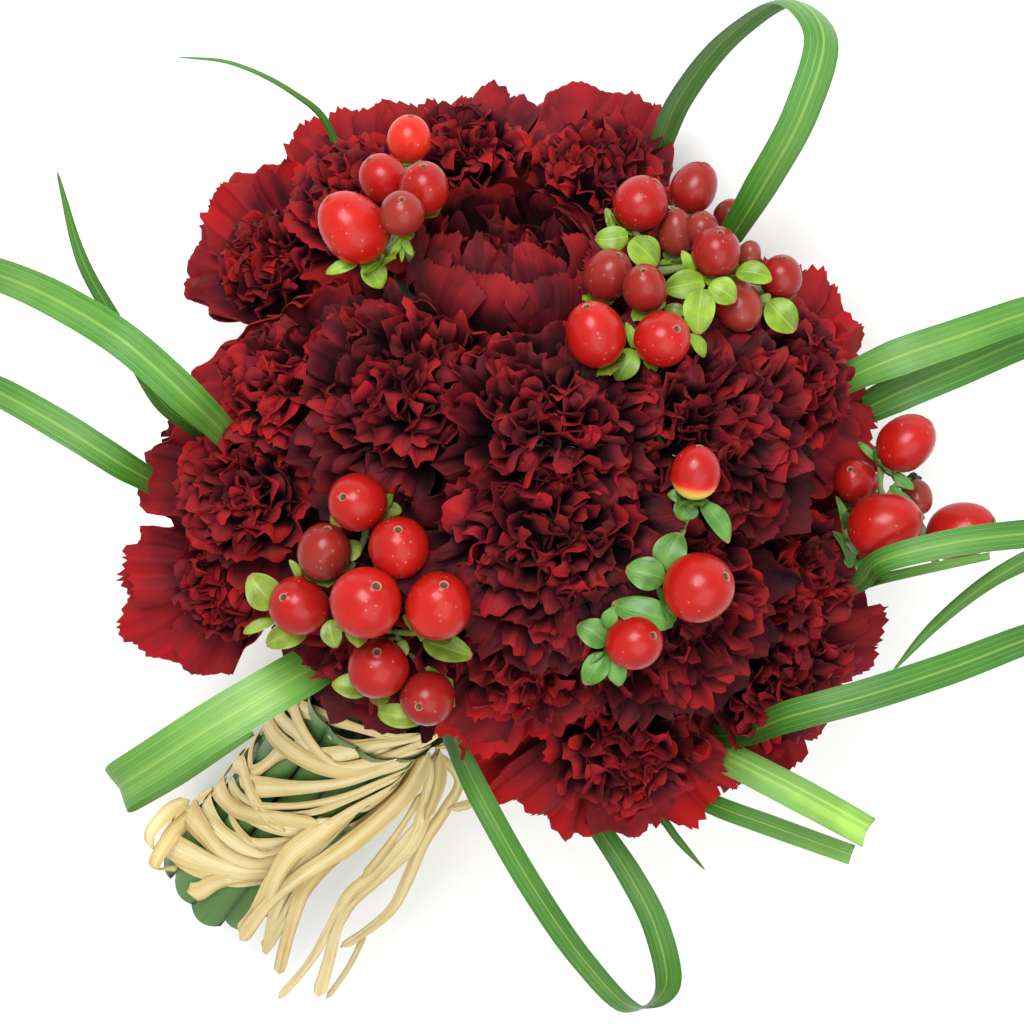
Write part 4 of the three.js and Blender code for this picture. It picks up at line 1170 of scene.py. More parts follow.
# The layers of petals in each form of bloom, from the guard petals in to the heart.
LAYER_ROWS = {
    Form.FULL: [
        (8, (3.2, 0.8), (10, 11), (24, 13.6), 16, (17, 8), 0.0, 10, (-10, 30), (0.06, 0.4), 0.8, 1.8,
         0.4, 0.2, 6),
        (10, (2.8, 1.2), (8.6, 14), (18.8, 17.4), 11, (17, 7), 0.15, 30, (-25, 60), (0.04, 0.48), 1, 2,
         0.6, 0.3, 5),
        (15, (2.4, 1.8), (7.2, 15.5), (16.6, 20.2), 7.4, (15, 6), 0.55, 50, (-50, 75), (0.02, 0.6), 0.9,
         1.5, 0.8, 0.4, 3.4),
        (17, (2.2, 2.2), (6, 16.4), (14.2, 22), 7, (15, 6), 0.55, 65, (-60, 85), (0, 0.6), 0.9, 1.5, 0.9,
         0.4, 3.2),
        (17, (1.8, 2.6), (4.6, 16.8), (11.6, 23.3), 7, (15, 6), 0.55, 80, (-65, 90), (0, 0.58), 0.95,
         1.5, 0.9, 0.4, 3),
        (16, (1.4, 3.0), (3.4, 16.6), (8.8, 24.2), 7, (15, 6), 0.55, 90, (-70, 95), (0, 0.56)),
        (13, (1.0, 3.5), (2.2, 16.2), (6.0, 24.8), 7, (15, 6), 0.55, 90, (-70, 95), (0, 0.56)),
        (10, (0.4, 4.0), (1.0, 15.4), (3.0, 25.0), 7, (15, 6), 0.5, 90, (-70, 95), (0, 0.56)),
    ],
    Form.RINGED: [
        (7, (3.4, 0.8), (11, 10.6), (26.5, 10.8), 23, (35, 8), 0.0, 8, (-14, 22), (0.5, 0.92), 0.95, 3,
         0.7, 0.1, 8),
        (6, (2.8, 1.2), (9, 13.2), (22.2, 14), 17, (29, 7), 0.15, 18, (-12, 45), (0.26, 0.84), 0.95, 2.6,
         0.6, 0.2, 8),
        (9, (2.4, 1.8), (6.8, 15.6), (15.4, 18.2), 9.6, (17, 7), 0.4, 40, (-40, 65), (0.06, 0.7), 1, 1.8,
         0.8, 0.3, 4.5),
        (12, (2.0, 2.2), (5.4, 16.2), (12.6, 20.4), 7.6, (15, 6), 0.5, 60, (-55, 80), (0, 0.64), 0.95,
         1.6, 0.9, 0.4, 3.6),
        (13, (1.7, 2.6), (4.2, 16.4), (9.9, 22), 7.2, (15, 6), 0.5, 75, (-65, 90), (0, 0.6), 0.95, 1.5,
         0.9, 0.4, 3.2),
        (12, (1.4, 3.0), (3.2, 16.2), (7.4, 23.0), 7, (15, 6), 0.5, 90, (-70, 95), (0, 0.56)),
        (10, (1.0, 3.5), (2.0, 15.8), (5.0, 23.6), 7, (15, 6), 0.5, 90, (-70, 95), (0, 0.56)),
        (7, (0.4, 4.0), (0.9, 15.0), (2.5, 23.8), 7, (15, 6), 0.5, 90, (-70, 95), (0, 0.56)),
    ],
    Form.BOWL: [
        (6, (3, 0.5), (23, 10), (13.4, 19.6), 17, (35, 14), 0.0, 3, (-14, 6), (0.32, 0.47), 0.3, 1.4,
         0.4, 0, 8),
        (7, (2.8, 1), (21.6, 10), (12.2, 20.8), 14, (29, 11), 0.15, 6, (-14, 12), (0.22, 0.56), 0.34,
         1.4, 0.4, 0.1, 8),
        (9, (2.6, 1.4), (20, 10), (10.8, 21.6), 10.6, (23, 9), 0.3, 12, (-20, 25), (0.12, 0.58), 0.4,
         1.4, 0.45, 0.2, 8),
        (10, (2.4, 1.8), (17, 10), (9.4, 21.6), 8.8, (17, 7), 0.45, 25, (-25, 45), (0.04, 0.6), 0.6, 1.6,
         0.8, 0.3, 4),
        (10, (2, 2.2), (12, 8), (7.8, 19.6), 8, (17, 7), 0.5, 60, (-60, 70), (0, 0.52), 1, 1.8, 0.9, 0.4,
         3.4),
        (9, (1.5, 2.6), (8, 8), (5.8, 18.2), 8, (17, 7), 0.5, 80, (-70, 80), (0, 0.48), 1, 1.8, 0.9, 0.4,
         3),
        (8, (1, 3), (4.4, 8), (3.8, 17.2), 8, (17, 7), 0.5, 90, (-70, 90), (0, 0.46), 1, 1.8, 0.9, 0.4, 3),
        (5, (0.4, 3), (1, 8), (1.4, 16.8), 8, (17, 7), 0.5, 90, (-70, 90), (0, 0.44), 1, 1.8, 0.9, 0.4, 3),
    ],
}
LAYERS = {form: [PetalLayer(*row) for row in rows] for form, rows in LAYER_ROWS.items()}
LAYERS[Form.UNDER] = LAYERS[Form.RINGED]


@dataclass
class BloomMaker:
    """Builds the petals of one bloom."""

    bloom: Bloom
    number: int
    material: bpy.types.Material
    rests: list[Row]

    def inside_cell(self, points: Array) -> Array:
        """Keeps the petals between the wavy walls that part the bloom from its neighbours.

        Args:
            points: positions in the view frame.

        Returns:
            Positions whose distance from the heart nears the wall's as one less e to the power of the rest.
        """
        ray = points - self.bloom.heart
        distance = np.linalg.norm(ray, axis=-1)
        ray = ray / np.maximum(distance, 1e-6)[..., None]
        reach = np.full(distance.shape, 1e6)
        for wall, way, side in self.bloom.walls:
            slope = np.maximum(ray @ way, 1e-4)
            hit = self.bloom.heart + times(np.minimum(wall / slope, 60.0), ray)
            wave = np.sin(hit @ np.array([0.55, 0.32, 0.41]))
            wave = wave + np.sin(hit @ np.array([-0.37, 0.61, 0.29]) + 1.7)
            moved = wall + WALL_OVERLAP + 0.5 * WALL_WAVE * side * wave
            reach = np.where(ray @ way > 0.02, np.minimum(reach, moved / slope), reach)
        share = distance / reach
        rest = 1.0 - EASE_FROM
        eased = EASE_FROM + rest * (1.0 - np.exp(-np.maximum(share - EASE_FROM, 0.0) / rest))
        return self.bloom.heart + times(np.where(share > EASE_FROM, eased * reach, distance), ray)

    def under_rests(self, points: Array) -> Array:
        """Presses the petals down where a berry or leaflet lies on them.

        Args:
            points: positions in the view frame.

        Returns:
            Positions whose height nears the limit over each resting place from below, as the logarithm of
            one plus e to the power of what is left. The limit rises by half again of the distance beyond
            the resting place's own radius.
        """
        points = points.copy()
        for x, y, z, radius in self.rests:
            if math.hypot(x - self.bloom.heart[0], y - self.bloom.heart[1]) <= radius + 36.0:
                apart = np.hypot(points[..., 0] - x, points[..., 1] - y)
                limit = z + 1.5 * np.maximum(apart - radius, 0.0)
                pressed = limit - np.logaddexp(0.0, limit - points[..., 2])
                points[..., 2] = np.where(apart < 1.9 * radius + 1.0, pressed, points[..., 2])
        return points

    def outline(self, layer: PetalLayer, pick: Callable[..., Array], u: Array, rise: Array) -> Array:
        """How far along its middle each point of a petal lies, as a share.

        Args:
            layer: the layer's sizes.
            pick: draws a random number for each petal, or for each of its columns.
            u: places across, from -1 to 1.
            rise: rows, from 0 at the claw to 1 at the edge.

        Returns:
            The row's share times an edge that falls off at both sides and swings in two sine waves. A broad
            petal's rim has small teeth of random depth, and that of a narrow one has rounded lobes, the
            absolute value of a sine.
        """
        columns = u.shape[-1]
        lobes = 0.04 * np.sin(u * pick(2.5, 4.5) + pick(*ANY_PHASE))
        lobes = lobes + 0.02 * np.sin(u * pick(6, 9) + pick(*ANY_PHASE))
        edge = 1.0 - 0.17 * np.abs(u) ** 2.6 + lobes
        teeth = np.where(np.arange(columns) % 2 == 0, 1.0, -1.0) * pick(0.1, 1.0, columns)
        notches = np.abs(np.sin(u * pick(3.2, 5.2) + pick(0, 3.1))) ** 0.6 - 0.8
        v = layer.start + (1.0 - layer.start) * (1.0 - (1.0 - rise) ** 1.5)
        rim = teeth * (rise >= 1.0) if layer.breadth > 9.0 else 1.6 * notches * smooth_rise(rise, 0.6, 1.0)
        return v * edge + rim * layer.tooth / PETAL_LENGTH

    def petals(self, layer: PetalLayer, draw: np.random.Generator, depth: int) -> tuple[Array, Array, Array]:
        """The petals of one layer.

        Each petal spreads as a fan along its curved middle and turns about it. Its end curls as an arc
        whose angle swings across the petal, and sine waves that grow towards the edge ruffle it.

        Args:
            layer: the layer's sizes.
            draw: the bloom's own random numbers.
            depth: the layer's number from outside.

        Returns:
            Positions by petal, row and column, the map and the tone.
        """
        bloom = self.bloom
        pick = lambda low, high, columns=1: draw.uniform(low, high, (layer.petals, 1, columns))
        detail = 0.6 if bloom.form is Form.UNDER else 1.0
        columns, rows = (int(round(size * detail)) for size in layer.grid)
        u, rise = sheet_shares(rows, columns)
        t = self.outline(layer, pick, u, rise)
        shorter = 3.6 if depth == 0 and bloom.form is Form.RINGED else 1.6
        drawn_in = bloom.inner if depth > 1 else 1.0
        tip_out = (layer.tip[0] + pick(-shorter, 1.2)) * bloom.spread * drawn_in
        tip_up = layer.tip[1] + pick(-1.5, 1.5) + 5.0 * bloom.full * (layer.tip[0] / MODEL_RADIUS) ** 2
        bend = (layer.bend[0] * (0.4 + 0.6 * drawn_in), layer.bend[1])
        paths = list(zip(layer.claw, bend, (tip_out, tip_up)))
        out, up = ((1 - t) ** 2 * a + 2 * t * (1 - t) * b + t * t * c for a, b, c in paths)
        steep = unit(together(*(2 * (1 - t) * (b - a) + 2 * t * (c - b) for a, b, c in paths)))
        petal = np.arange(layer.petals)[:, None, None]
        azimuth = FULL_TURN * (petal + 0.37 * depth) / layer.petals + pick(-0.16, 0.16) + self.number
        radial = together(np.cos(azimuth), np.sin(azimuth), 0.0)
        aside = together(-np.sin(azimuth), np.cos(azimuth), 0.0)
        run = steep[..., :1] * radial + steep[..., 1:] * TO_EYE
        normal = steep[..., :1] * TO_EYE - steep[..., 1:] * radial
        turn = np.radians(layer.twist) * pick(-1.0, 1.0) * smooth_rise(t, 0.1, 0.9)
        broad, face = spun(turn, aside, normal), spun(turn, normal, -aside)

        curl_share = layer.curl_length / PETAL_LENGTH
        share = np.clip((t - 1.0 + curl_share) / curl_share, 0.0, 1.2)
        curl_swing = 0.35 * (layer.curl[1] - layer.curl[0])
        arc = np.radians(pick(*layer.curl) + curl_swing * np.sin(2.4 * u + pick(*ANY_PHASE))) * share
        ahead = layer.curl_length * share * (np.sinc(arc / np.pi) - 1.0)
        aloft = layer.curl_length * share * 0.5 * arc * np.sinc(0.5 * arc / np.pi) ** 2

        grow = smooth_rise(t, layer.pleat_from, 1.0)
        swing = np.pi * layer.waves * pick(0.8, 1.25) * u + pick(*ANY_PHASE) + 0.8 * t
        folded = np.sin(swing + 0.35 * np.sin(swing)) + 0.22 * np.sin(1.7 * swing + pick(*ANY_PHASE))
        fold_depth = layer.ruffle * pick(0.7, 1.25) * grow
        sizes = (0.76, 1.42) if layer.breadth < 10.0 else (0.88, 1.1)
        width = 0.5 * layer.breadth * pick(*sizes) * (0.16 + 0.84 * smooth_rise(t, 0.0, 0.95))
        across = u * width + 0.3 * fold_depth * np.sin(2.0 * swing)
        cup = 0.85 if bloom.form is Form.BOWL else 0.10
        hollow = cup * (u * width) ** 2 / (2.0 * max(layer.tip[0], 6.0)) * grow
        grid = times(out, radial) + times(up, TO_EYE) + times(pick(-2.0, 2.0) * grow, aside)
        grid = grid + times(across, broad) + times(ahead, run) - times(aloft, face)
        grid = grid + times(fold_depth * folded, spun(arc, face, run)) + times(hollow, face)

        # Painted shade and light in the tone: each petal darkens from its rim to its foot deep in the bloom,
        # one side of each ruffle is a little lighter, and the two outer rings are dimmed by how bright the
        # bloom's guard petals are set, which is low for blooms between the others and under the bunch. The
        # rest differs at random.
        low, high = layer.tone
        if depth < 2 and bloom.form is not Form.BOWL:
            painted_dimming = 1.0 - (1.0 - bloom.guard_tone_and_shade) * (1.0 if depth == 0 else 0.6)
            low, high = low * painted_dimming, high * painted_dimming
        elif bloom.form is Form.RINGED:
            high = high * (0.9 + 0.3 * bloom.guard_tone_and_shade)
        shade = smooth_rise(t, 0.45 if layer.breadth > 12.0 else 0.72, 1.0)
        tone = low + (high - low) * shade * pick(0.6, 1.28) + 0.05 * folded * grow
        place = 0.5 + 0.5 * u + 7.0 * (petal + 11 * depth)
        return grid * (bloom.radius / MODEL_RADIUS), together(place, t), tone

    def build(self) -> None:
        """Builds the bloom as one piece that stands for its CAD node."""
        draw = np.random.default_rng(500 + self.number)
        turn = turn_to(self.bloom.petal_axis)
        skin = Skin()
        for depth, layer in enumerate(LAYERS[self.bloom.form]):
            grid, uv, tone = self.petals(layer, draw, depth)
            placed = self.under_rests(self.inside_cell(grid @ turn.T + self.bloom.petal_mouth))
            skin.add_sheets(placed, PETAL_THICKNESS, uv, tone)
        name = f"bloom_{self.number:02d}"
        skin.piece(f"{name}_petals", [self.material], [name])


@dataclass
class StemMaker:
    """Builds a carnation stem with a branch and a ribbed calyx under each of its blooms."""

    blooms: list[Bloom]
    member: Member
    number: int
    material: bpy.types.Material

    def trunk(self) -> Array:
        """The rings of the stem below the fork, swollen slightly at two joints."""
        stations = np.linspace(self.member.foot, FORK_STATION, 24)
        swell = sum(0.35 * np.exp(-(((stations - joint) / 2.2) ** 2)) for joint in (30, 66))
        return rings_along(self.member.line(stations), STEM_RADIUS - 0.1 + swell, 10, ACROSS_A)

    def branch(self, bloom: Bloom) -> Array:
        """The rings of a branch and its calyx.

        Args:
            bloom: the bloom that it carries.

        Returns:
            Positions by ring and corner. The calyx widens evenly along its length, with five ribs whose
            height is a cosine of the angle.
        """
        span = station_of(bloom.calyx_foot) - FORK_STATION
        rising = self.member.line([FORK_STATION - 3, FORK_STATION + 0.5 * span], bloom.calyx_foot)
        on_axis = bloom.calyx_foot + np.array([[-1.0], [6.0], [13.0], [CALYX_LENGTH]]) * bloom.axis
        line = SmoothLine(np.concatenate([rising, on_axis])).evenly(30)
        up = (line - bloom.calyx_foot) @ bloom.axis
        far = np.linalg.norm(line - bloom.calyx_foot - up[:, None] * bloom.axis, axis=1)
        filled = np.where(far < 2.0, smooth_rise(up, -1.5, 5.0), 0.0)
        widened = np.clip((up - 5.0) / 15.0, 0.0, 1.0)
        radii = BRANCH_RADIUS + filled * (SHOULDER_RADIUS - BRANCH_RADIUS)
        radii = radii + widened * (CALYX_RADIUS - SHOULDER_RADIUS)
        rings = rings_along(line, radii, 15, ACROSS_B)
        ribs = 1.0 + 0.045 * np.cos(5 * FULL_TURN * np.arange(15) / 15)[None, :] * filled[:, None]
        return line[:, None] + times(ribs, rings - line[:, None])

    def bracts(self, bloom: Bloom) -> Array:
        """Four short bracts that hug the foot of a calyx, as a batch of sheets."""
        u, v = sheet_shares(6, 7)
        around = (np.arange(4) * np.pi / 2)[:, None, None] + 0.62 * u * (1 - v**1.6)
        radius = BRANCH_RADIUS + 0.35 + 2.35 * smooth_rise(v, 0.0, 0.6)
        local = together(radius * np.cos(around), radius * np.sin(around), -1.5 + 7.0 * v)
        return local @ turn_to(bloom.axis).T + bloom.calyx_foot

    def build(self) -> None:
        """Builds the stem as one piece that stands for its CAD node."""
        skin = Skin()
        skin.add_tube(self.trunk(), 0.3, 0.5)
        u, v = sheet_shares(6, 7)
        for bloom in self.blooms:
            skin.add_tube(self.branch(bloom), 0.3, 0.5)
            skin.add_sheets(self.bracts(bloom), 0.4, together(0.5 + 0.5 * u, v), 0.6)
        name = f"carnation_stem_{self.number:02d}"
        skin.piece(f"{name}_branches", [self.material], [name])


@dataclass
class SprayMaker:
    """Builds a hypericum spray: stem, stalks, berries with their sepals, and leaflets.

    Its materials are those of the stem, the berries and the leaflets.
    """

    spray: Spray
    member: Member
    number: int
    materials: list[bpy.types.Material]

    def berry_rings(self, berry: Berry, draw: np.random.Generator) -> tuple[Array, Array, Array]:
        """The skin of one berry.

        Args:
            berry: the berry.
            draw: the spray's random numbers.

        Returns:
            Rings of a ball drawn out towards its tip, slightly three-sided, with a dimple, a raised rim
            and a sunken scar at the tip; how much each ring belongs to the scar; and its tone.
        """
        degrees = np.concatenate([np.linspace(176, 26, 14), [19.0, 14.0, 11.0, 9.4, 7.6, 5.6, 2.0]])
        polar = np.radians(degrees)[:, None]
        angle = FULL_TURN * np.arange(24) / 24
        dent = 0.035 * np.exp(-((degrees / 14.0) ** 2))
        rim = 0.03 * np.exp(-(((degrees - 9.0) / 2.0) ** 2))
        sunk = 0.07 * (1.0 - smooth_rise(degrees, 3.0, 8.0))
        scar = 1.0 - smooth_rise(degrees, 4.4, 10.4)
        size = (berry.radius * (1.0 - dent + rim - sunk))[:, None]
        plump = 1.0 + 0.015 * np.cos(3 * angle + draw.uniform(*ANY_PHASE)) * np.sin(polar)
        out = size * np.sin(polar) * plump * (1.0 - 0.5 * (berry.long - 1.0))
        ahead = np.where(np.cos(polar) > 0, 2.0 * berry.long - 1.0, 1.0)
        local = together(out * np.cos(angle), out * np.sin(angle), size * np.cos(polar) * ahead)
        tone = berry.tone + (2.2 - berry.tone) * berry.pale * smooth_rise(degrees, 82.0, 140.0)
        return local @ turn_to(berry.way).T + berry.centre, scar, tone

    def sepals(self, berry: Berry, draw: np.random.Generator) -> Array:
        """Five small sepals folded back under a berry, as a batch of sheets."""
        u, v = sheet_shares(6, 5)
        around = (FULL_TURN * np.arange(5) / 5)[:, None, None] + draw.uniform(*ANY_PHASE)
        out = 0.5 + berry.radius * draw.uniform(0.5, 0.85, (5, 1, 1)) * v
        x = u * 0.36 * berry.radius * np.sin(np.pi * (0.1 + 0.88 * v)) ** 0.7
        up = 0.3 + draw.uniform(-0.4, 1.1, (5, 1, 1)) * v * v * 1.5 + 0.3 * u * u
        cosine, sine = np.cos(around), np.sin(around)
        local = together(out * cosine - x * sine, out * sine + x * cosine, up)
        return local @ turn_to(berry.way).T + berry.base

    def leaflet(self, leaf: Leaflet, draw: np.random.Generator) -> Array:
        """One leaflet.

        Args:
            leaf: its places and sizes.
            draw: the spray's random numbers.

        Returns:
            A sheet by row and column: as wide as a power of a sine along it, folded along its middle,
            arched, and wavy towards its edges.
        """
        length = float(np.linalg.norm(leaf.tip - leaf.root))
        way = (leaf.tip - leaf.root) / length
        side = unit(np.cross(way, np.array([0.1, 0.2, 1.0]) + draw.uniform(-0.25, 0.25, 3)))
        u, v = sheet_shares(12, 9)
        half = 0.5 * VIEW_STEP * leaf.breadth * (np.sin(np.pi * (0.03 + 0.95 * v) ** 0.88) ** 0.62 + 0.02)
        fold = leaf.fold * np.abs(u) ** 1.4 * half * 1.6 + 0.10 * length * np.sin(np.pi * v)
        fold = fold - 0.06 * length * v**3 + 0.03 * length * np.sin(5 * v + draw.uniform(0, 6)) * u
        sway = 0.05 * length * draw.uniform(-1, 1) * np.sin(np.pi * v)
        flat = leaf.root + times(v * length, way) + times(u * half + sway, side)
        return flat + times(fold, np.cross(side, way))

    def add_leaves(self, skin: Skin, grids: Array, thickness: float) -> None:
        """Adds sheets with a map across and along them, and a tone that counts towards the tip."""
        u, along = sheet_shares(*grids.shape[1:3])
        across = 0.5 + 0.5 * u + 3.0 * np.arange(len(grids))[:, None, None]
        skin.add_sheets(grids, thickness, together(across, along), along, 2)

    def build(self) -> None:
        """Builds the spray as one piece that stands for its CAD node."""
        draw = np.random.default_rng(900 + self.number)
        skin = Skin()
        stations = [self.member.foot, BINDING_TOP, 0.5 * (BINDING_TOP + station_of(self.spray.stalk[0]))]
        line = SmoothLine(np.array([*self.member.line(stations), *self.spray.stalk])).evenly(48)
        radii = np.interp(np.linspace(0.0, 1.0, 48), [0.0, 0.55, 1.0], [SPRAY_STEM_RADIUS, 1.3, 0.9])
        skin.add_tube(rings_along(line, radii, 8, ACROSS_A), 0.3, 0.5)
        hubs = np.array(self.spray.stalk[1:])
        girth = 0.65 + 0.35 * np.linspace(0.0, 1.0, 10) ** 4
        for berry in self.spray.berries:
            hub = hubs[np.argmin(np.linalg.norm(hubs - berry.base, axis=1))]
            end = berry.base + berry.way * 0.8
            stalk = SmoothLine(np.array([hub, 0.5 * (hub + end) - berry.way * 1.2, end])).evenly(10)
            skin.add_tube(rings_along(stalk, girth, 7, np.array([0.31, 0.9, 0.3])), 0.3, 0.5)
            rings, scar, tone = self.berry_rings(berry, draw)
            skin.add_tube(rings, 0.1, tone, 1, scar)
            self.add_leaves(skin, self.sepals(berry, draw), 0.3)
        for leaf in self.spray.leaflets:
            self.add_leaves(skin, self.leaflet(leaf, draw)[None], 0.45)
        name = f"hypericum_{self.number}"
        skin.piece(f"{name}_berries", self.materials, [name])


ACROSS_STRIP = np.linspace(-1.0, 1.0, 7)[None, :]


def faced(table: list[Row]) -> tuple[Array, Array, Array]:
    """Carries the face of a long flat strip along it.

    Args:
        table: the column, row, height and width of each spot and, where the strip turns there, degrees.

    Returns:
        The places, the widths and the faces. The first face looks at the eye, turned by its spot's
        angle, and each next one is the last, squared to the line and turned by its own.
    """
    spots = np.array([(*row, 0.0)[:5] for row in table])
    places = seen(*spots[:, :3].T)
    last = len(spots) - 1
    line = SmoothLine(places)
    face = TO_EYE
    faces = []
    for index, angle in enumerate(np.radians(spots[:, 4])):
        way = line.way(index / last)
        before = line.way(max(0.0, index - 0.5) / last)
        if index > 0:
            face = unit(face - before * (face @ before))
        face = unit(face - way * (face @ way))
        face = spun(angle, face, np.cross(way, face))
        faces.append(face)
    return places, spots[:, 3], np.array(faces)


def strip_grid(places: Array, widths: Array, faces: Array, rows: int, crease: float) -> tuple[Array, Array]:
    """The sheet of a strip, with seven columns.

    Args:
        places: points along its middle.
        widths: the width at each.
        faces: the direction of its face at each.
        rows: rows along it.
        crease: how deep its middle lies, as a share of its width.

    Returns:
        Positions by row and column, and the length along it in millimetres for each row.
    """
    share = np.linspace(0.0, 1.0, rows)
    line = SmoothLine(places)
    middle, way = line.at(share), line.way(share)
    face = SmoothLine(faces).at(share)
    face = unit(face - way * (face * way).sum(-1, keepdims=True))
    width = np.interp(share * (len(widths) - 1), np.arange(len(widths)), widths)[:, None]
    sink = -crease * width * (1.0 - np.abs(ACROSS_STRIP) ** 1.3)
    side = np.cross(way, face)[:, None]
    grid = middle[:, None] + times(0.5 * ACROSS_STRIP * width, side) + times(sink, face[:, None])
    steps = np.linalg.norm(np.diff(middle, axis=0), axis=1)
    return grid, np.concatenate([[0.0], np.cumsum(steps)])


def drawn_in(grid: Array, taper: Array) -> Array:
    """A strip's sheet narrowed towards its middle column by a share for each row."""
    middle = grid[:, 3:4]
    return middle + times(taper, grid - middle)


@dataclass
class BladeMaker:
    """Builds a grass blade with its narrow foot between the stems."""

    blade: Blade
    member: Member
    number: int
    material: bpy.types.Material

    def build(self) -> None:
        """Builds the blade as one piece that stands for its CAD node."""
        places, widths, faces = faced(self.blade.rows)
        crease = BLADE_CREASE if widths[1] > 4 else 0.05
        between = 0.45 * station_of(places[0]) + 0.55 * BINDING_TOP
        foot = self.member.line([self.member.foot, BINDING_TOP, between])
        outward = unit(foot - handle_point(np.array([station_of(point) for point in foot]), np.zeros((3, 2))))
        outward = outward * np.where(outward @ faces[0] < 0, -1.0, 1.0)[:, None]
        widths = np.concatenate([[BLADE_FOOT_WIDTH] * 3, widths])
        faces = np.concatenate([outward, faces])
        grid, length = strip_grid(np.concatenate([foot, places]), widths, faces, 84, crease)
        if self.blade.pointed:
            left = np.clip(1.0 - (length[-1] - length) / 9.0, 0.0, 1.0)
            grid = drawn_in(grid, np.sqrt(np.clip(1.0 - left**2, 0.0016, 1.0))[:, None])
        # Painted shade: the blade darkens towards its foot, under and beside the blooms. Across it, the tone
        # also falls a little towards the edges.
        rise = 0.45 + 0.55 * smooth_rise(length / length[-1], 0.22, 0.5)
        place = 0.5 + 0.5 * ACROSS_STRIP + 5.0 * self.number
        tone = self.blade.light * rise[:, None] - 0.12 * ACROSS_STRIP**2
        skin = Skin()
        skin.add_sheets(grid, BLADE_THICKNESS, together(place, length[:, None]), tone)
        if self.blade.under:
            grid, length = strip_grid(*faced(self.blade.under), 40, BLADE_CREASE)
            tone = 0.35 + 0.35 * (length / length[-1])[:, None]
            skin.add_sheets(grid, BLADE_THICKNESS, together(place + 2.0, length[:, None]), tone)
        name = f"grass_blade_{self.number:02d}"
        skin.piece(f"{name}_leaf", [self.material], [name])


@dataclass
class WrapLeafMaker:
    """Builds the leaves side by side on a quarter of the handle, given the stations of their ends."""

    ends: Row
    number: int
    material: bpy.types.Material
    strips: int = 3

    def build(self) -> None:
        """Builds the leaves of one quarter as a piece that stands for its CAD node.

        Each leaf is a sheet round the handle: its radius swells at its middle as a cosine, sinks at its
        edges, follows the fan above the binding and flares a little at its lower end.
        """
        draw = np.random.default_rng(300 + self.number)
        skin = Skin()
        quarter = 0.5 * np.pi
        u, v = sheet_shares(30, 9)
        for strip in range(self.strips):
            share = (strip + 0.5) / self.strips
            middle = (self.number - 1) * quarter + quarter * (share - 0.5)
            angle = middle + 0.5 * quarter / self.strips * 1.06 * u
            low = np.interp(share * 2.0 - 1.0, [-1.0, 0.0, 1.0], self.ends) + draw.uniform(-1.5, 1.0)
            low = low + 2.2 * np.abs(u) ** 2 + draw.uniform(-1.2, 1.2) * u
            station = low + (WRAP_LEAF_TOP - low) * v
            angle = angle + 0.05 * np.sin(0.05 * station + draw.uniform(*ANY_PHASE))
            swell = 0.75 * np.cos(0.5 * np.pi * u) - 0.3 + 0.25 * draw.uniform(-1, 1)
            radius = (WRAP_LEAF_RADIUS + swell) * fan_share(station) / FAN_START + flare(angle, station)
            grid = handle_point(station, together(radius * np.cos(angle), radius * np.sin(angle)))
            place = 0.5 + 0.5 * u + 9.0 * strip + 40.0 * self.number
            # Painted shade: each leaf darkens towards its edges, where it meets the next; its own tone
            # differs at random.
            tone = draw.uniform(0.45, 0.85) - 0.55 * np.abs(u) ** 4
            skin.add_sheets(grid, 0.5, together(place, station), tone)
        name = f"wrap_leaf_{self.number}"
        skin.piece(f"{name}_blades", [self.material], [name])


# The stations where the leaves of each quarter of the handle end: at its first edge, middle and last edge.
WRAP_LEAF_ENDS = [(-11, -15.5, -9), (-8, -9, -10), (-8, -7, -9), (-15, -18.5, -14)]
KNOT = seen(421, 748, -98)
# The raffia bands that show on the handle: width, how many layers lie under, then columns and rows in turn.
BANDS = [
    (3.6, 1, 262, 668, 290, 702, 331, 719, 377, 734, 420, 736),
    (5.0, 3, 258, 706, 268, 724, 295, 753, 338, 770, 376, 762, 418, 744),
    (4.6, 3, 276, 694, 296, 716, 310, 742, 326, 760, 354, 768, 392, 760),
    (3.2, 2, 268, 704, 284, 722, 304, 744, 322, 766, 350, 778, 384, 772),
    (4.2, 2, 312, 756, 350, 752, 384, 744, 418, 738),
    (4.4, 2, 250, 784, 276, 787, 306, 787, 340, 783, 392, 766),
    (3.4, 1, 254, 772, 266, 764, 280, 752),
    (4.6, 1, 346, 766, 372, 758, 396, 750, 424, 744),
    (4.0, 1, 350, 744, 380, 742, 408, 738, 430, 736),
    (4.8, 2, 224, 798, 244, 812, 268, 824, 296, 830, 326, 826, 366, 802),
    (2.4, 3, 246, 800, 290, 806, 318, 803, 352, 794, 384, 780),
    (2.4, 1, 242, 806, 288, 815, 318, 811, 352, 798, 380, 786),
    (5.4, 3, 212, 760, 215, 776, 222, 794, 234, 808, 256, 816, 290, 820),
    (4.4, 3, 224, 748, 236, 764, 248, 786, 262, 812),
    (5.0, 1, 204, 772, 206, 794, 212, 818, 228, 838, 256, 846, 296, 842),
    (3.2, 1, 248, 728, 252, 746, 250, 768, 248, 776),
    (6.0, 3, 160, 796, 168, 818, 181, 836, 203, 857, 234, 870, 276, 872),
    (5.8, 3, 182, 778, 190, 804, 206, 832, 226, 856, 256, 866, 290, 858),
    (5.2, 2, 200, 814, 216, 832, 240, 848, 266, 858, 290, 848, 314, 828),
    (3.0, 1, 240, 832, 262, 850, 284, 852, 318, 830),
    (4.6, 2, 206, 886, 220, 879, 244, 876, 270, 873, 298, 858),
    (4.4, 1, 174, 800, 176, 824, 186, 850, 206, 868, 236, 880, 266, 880),
]
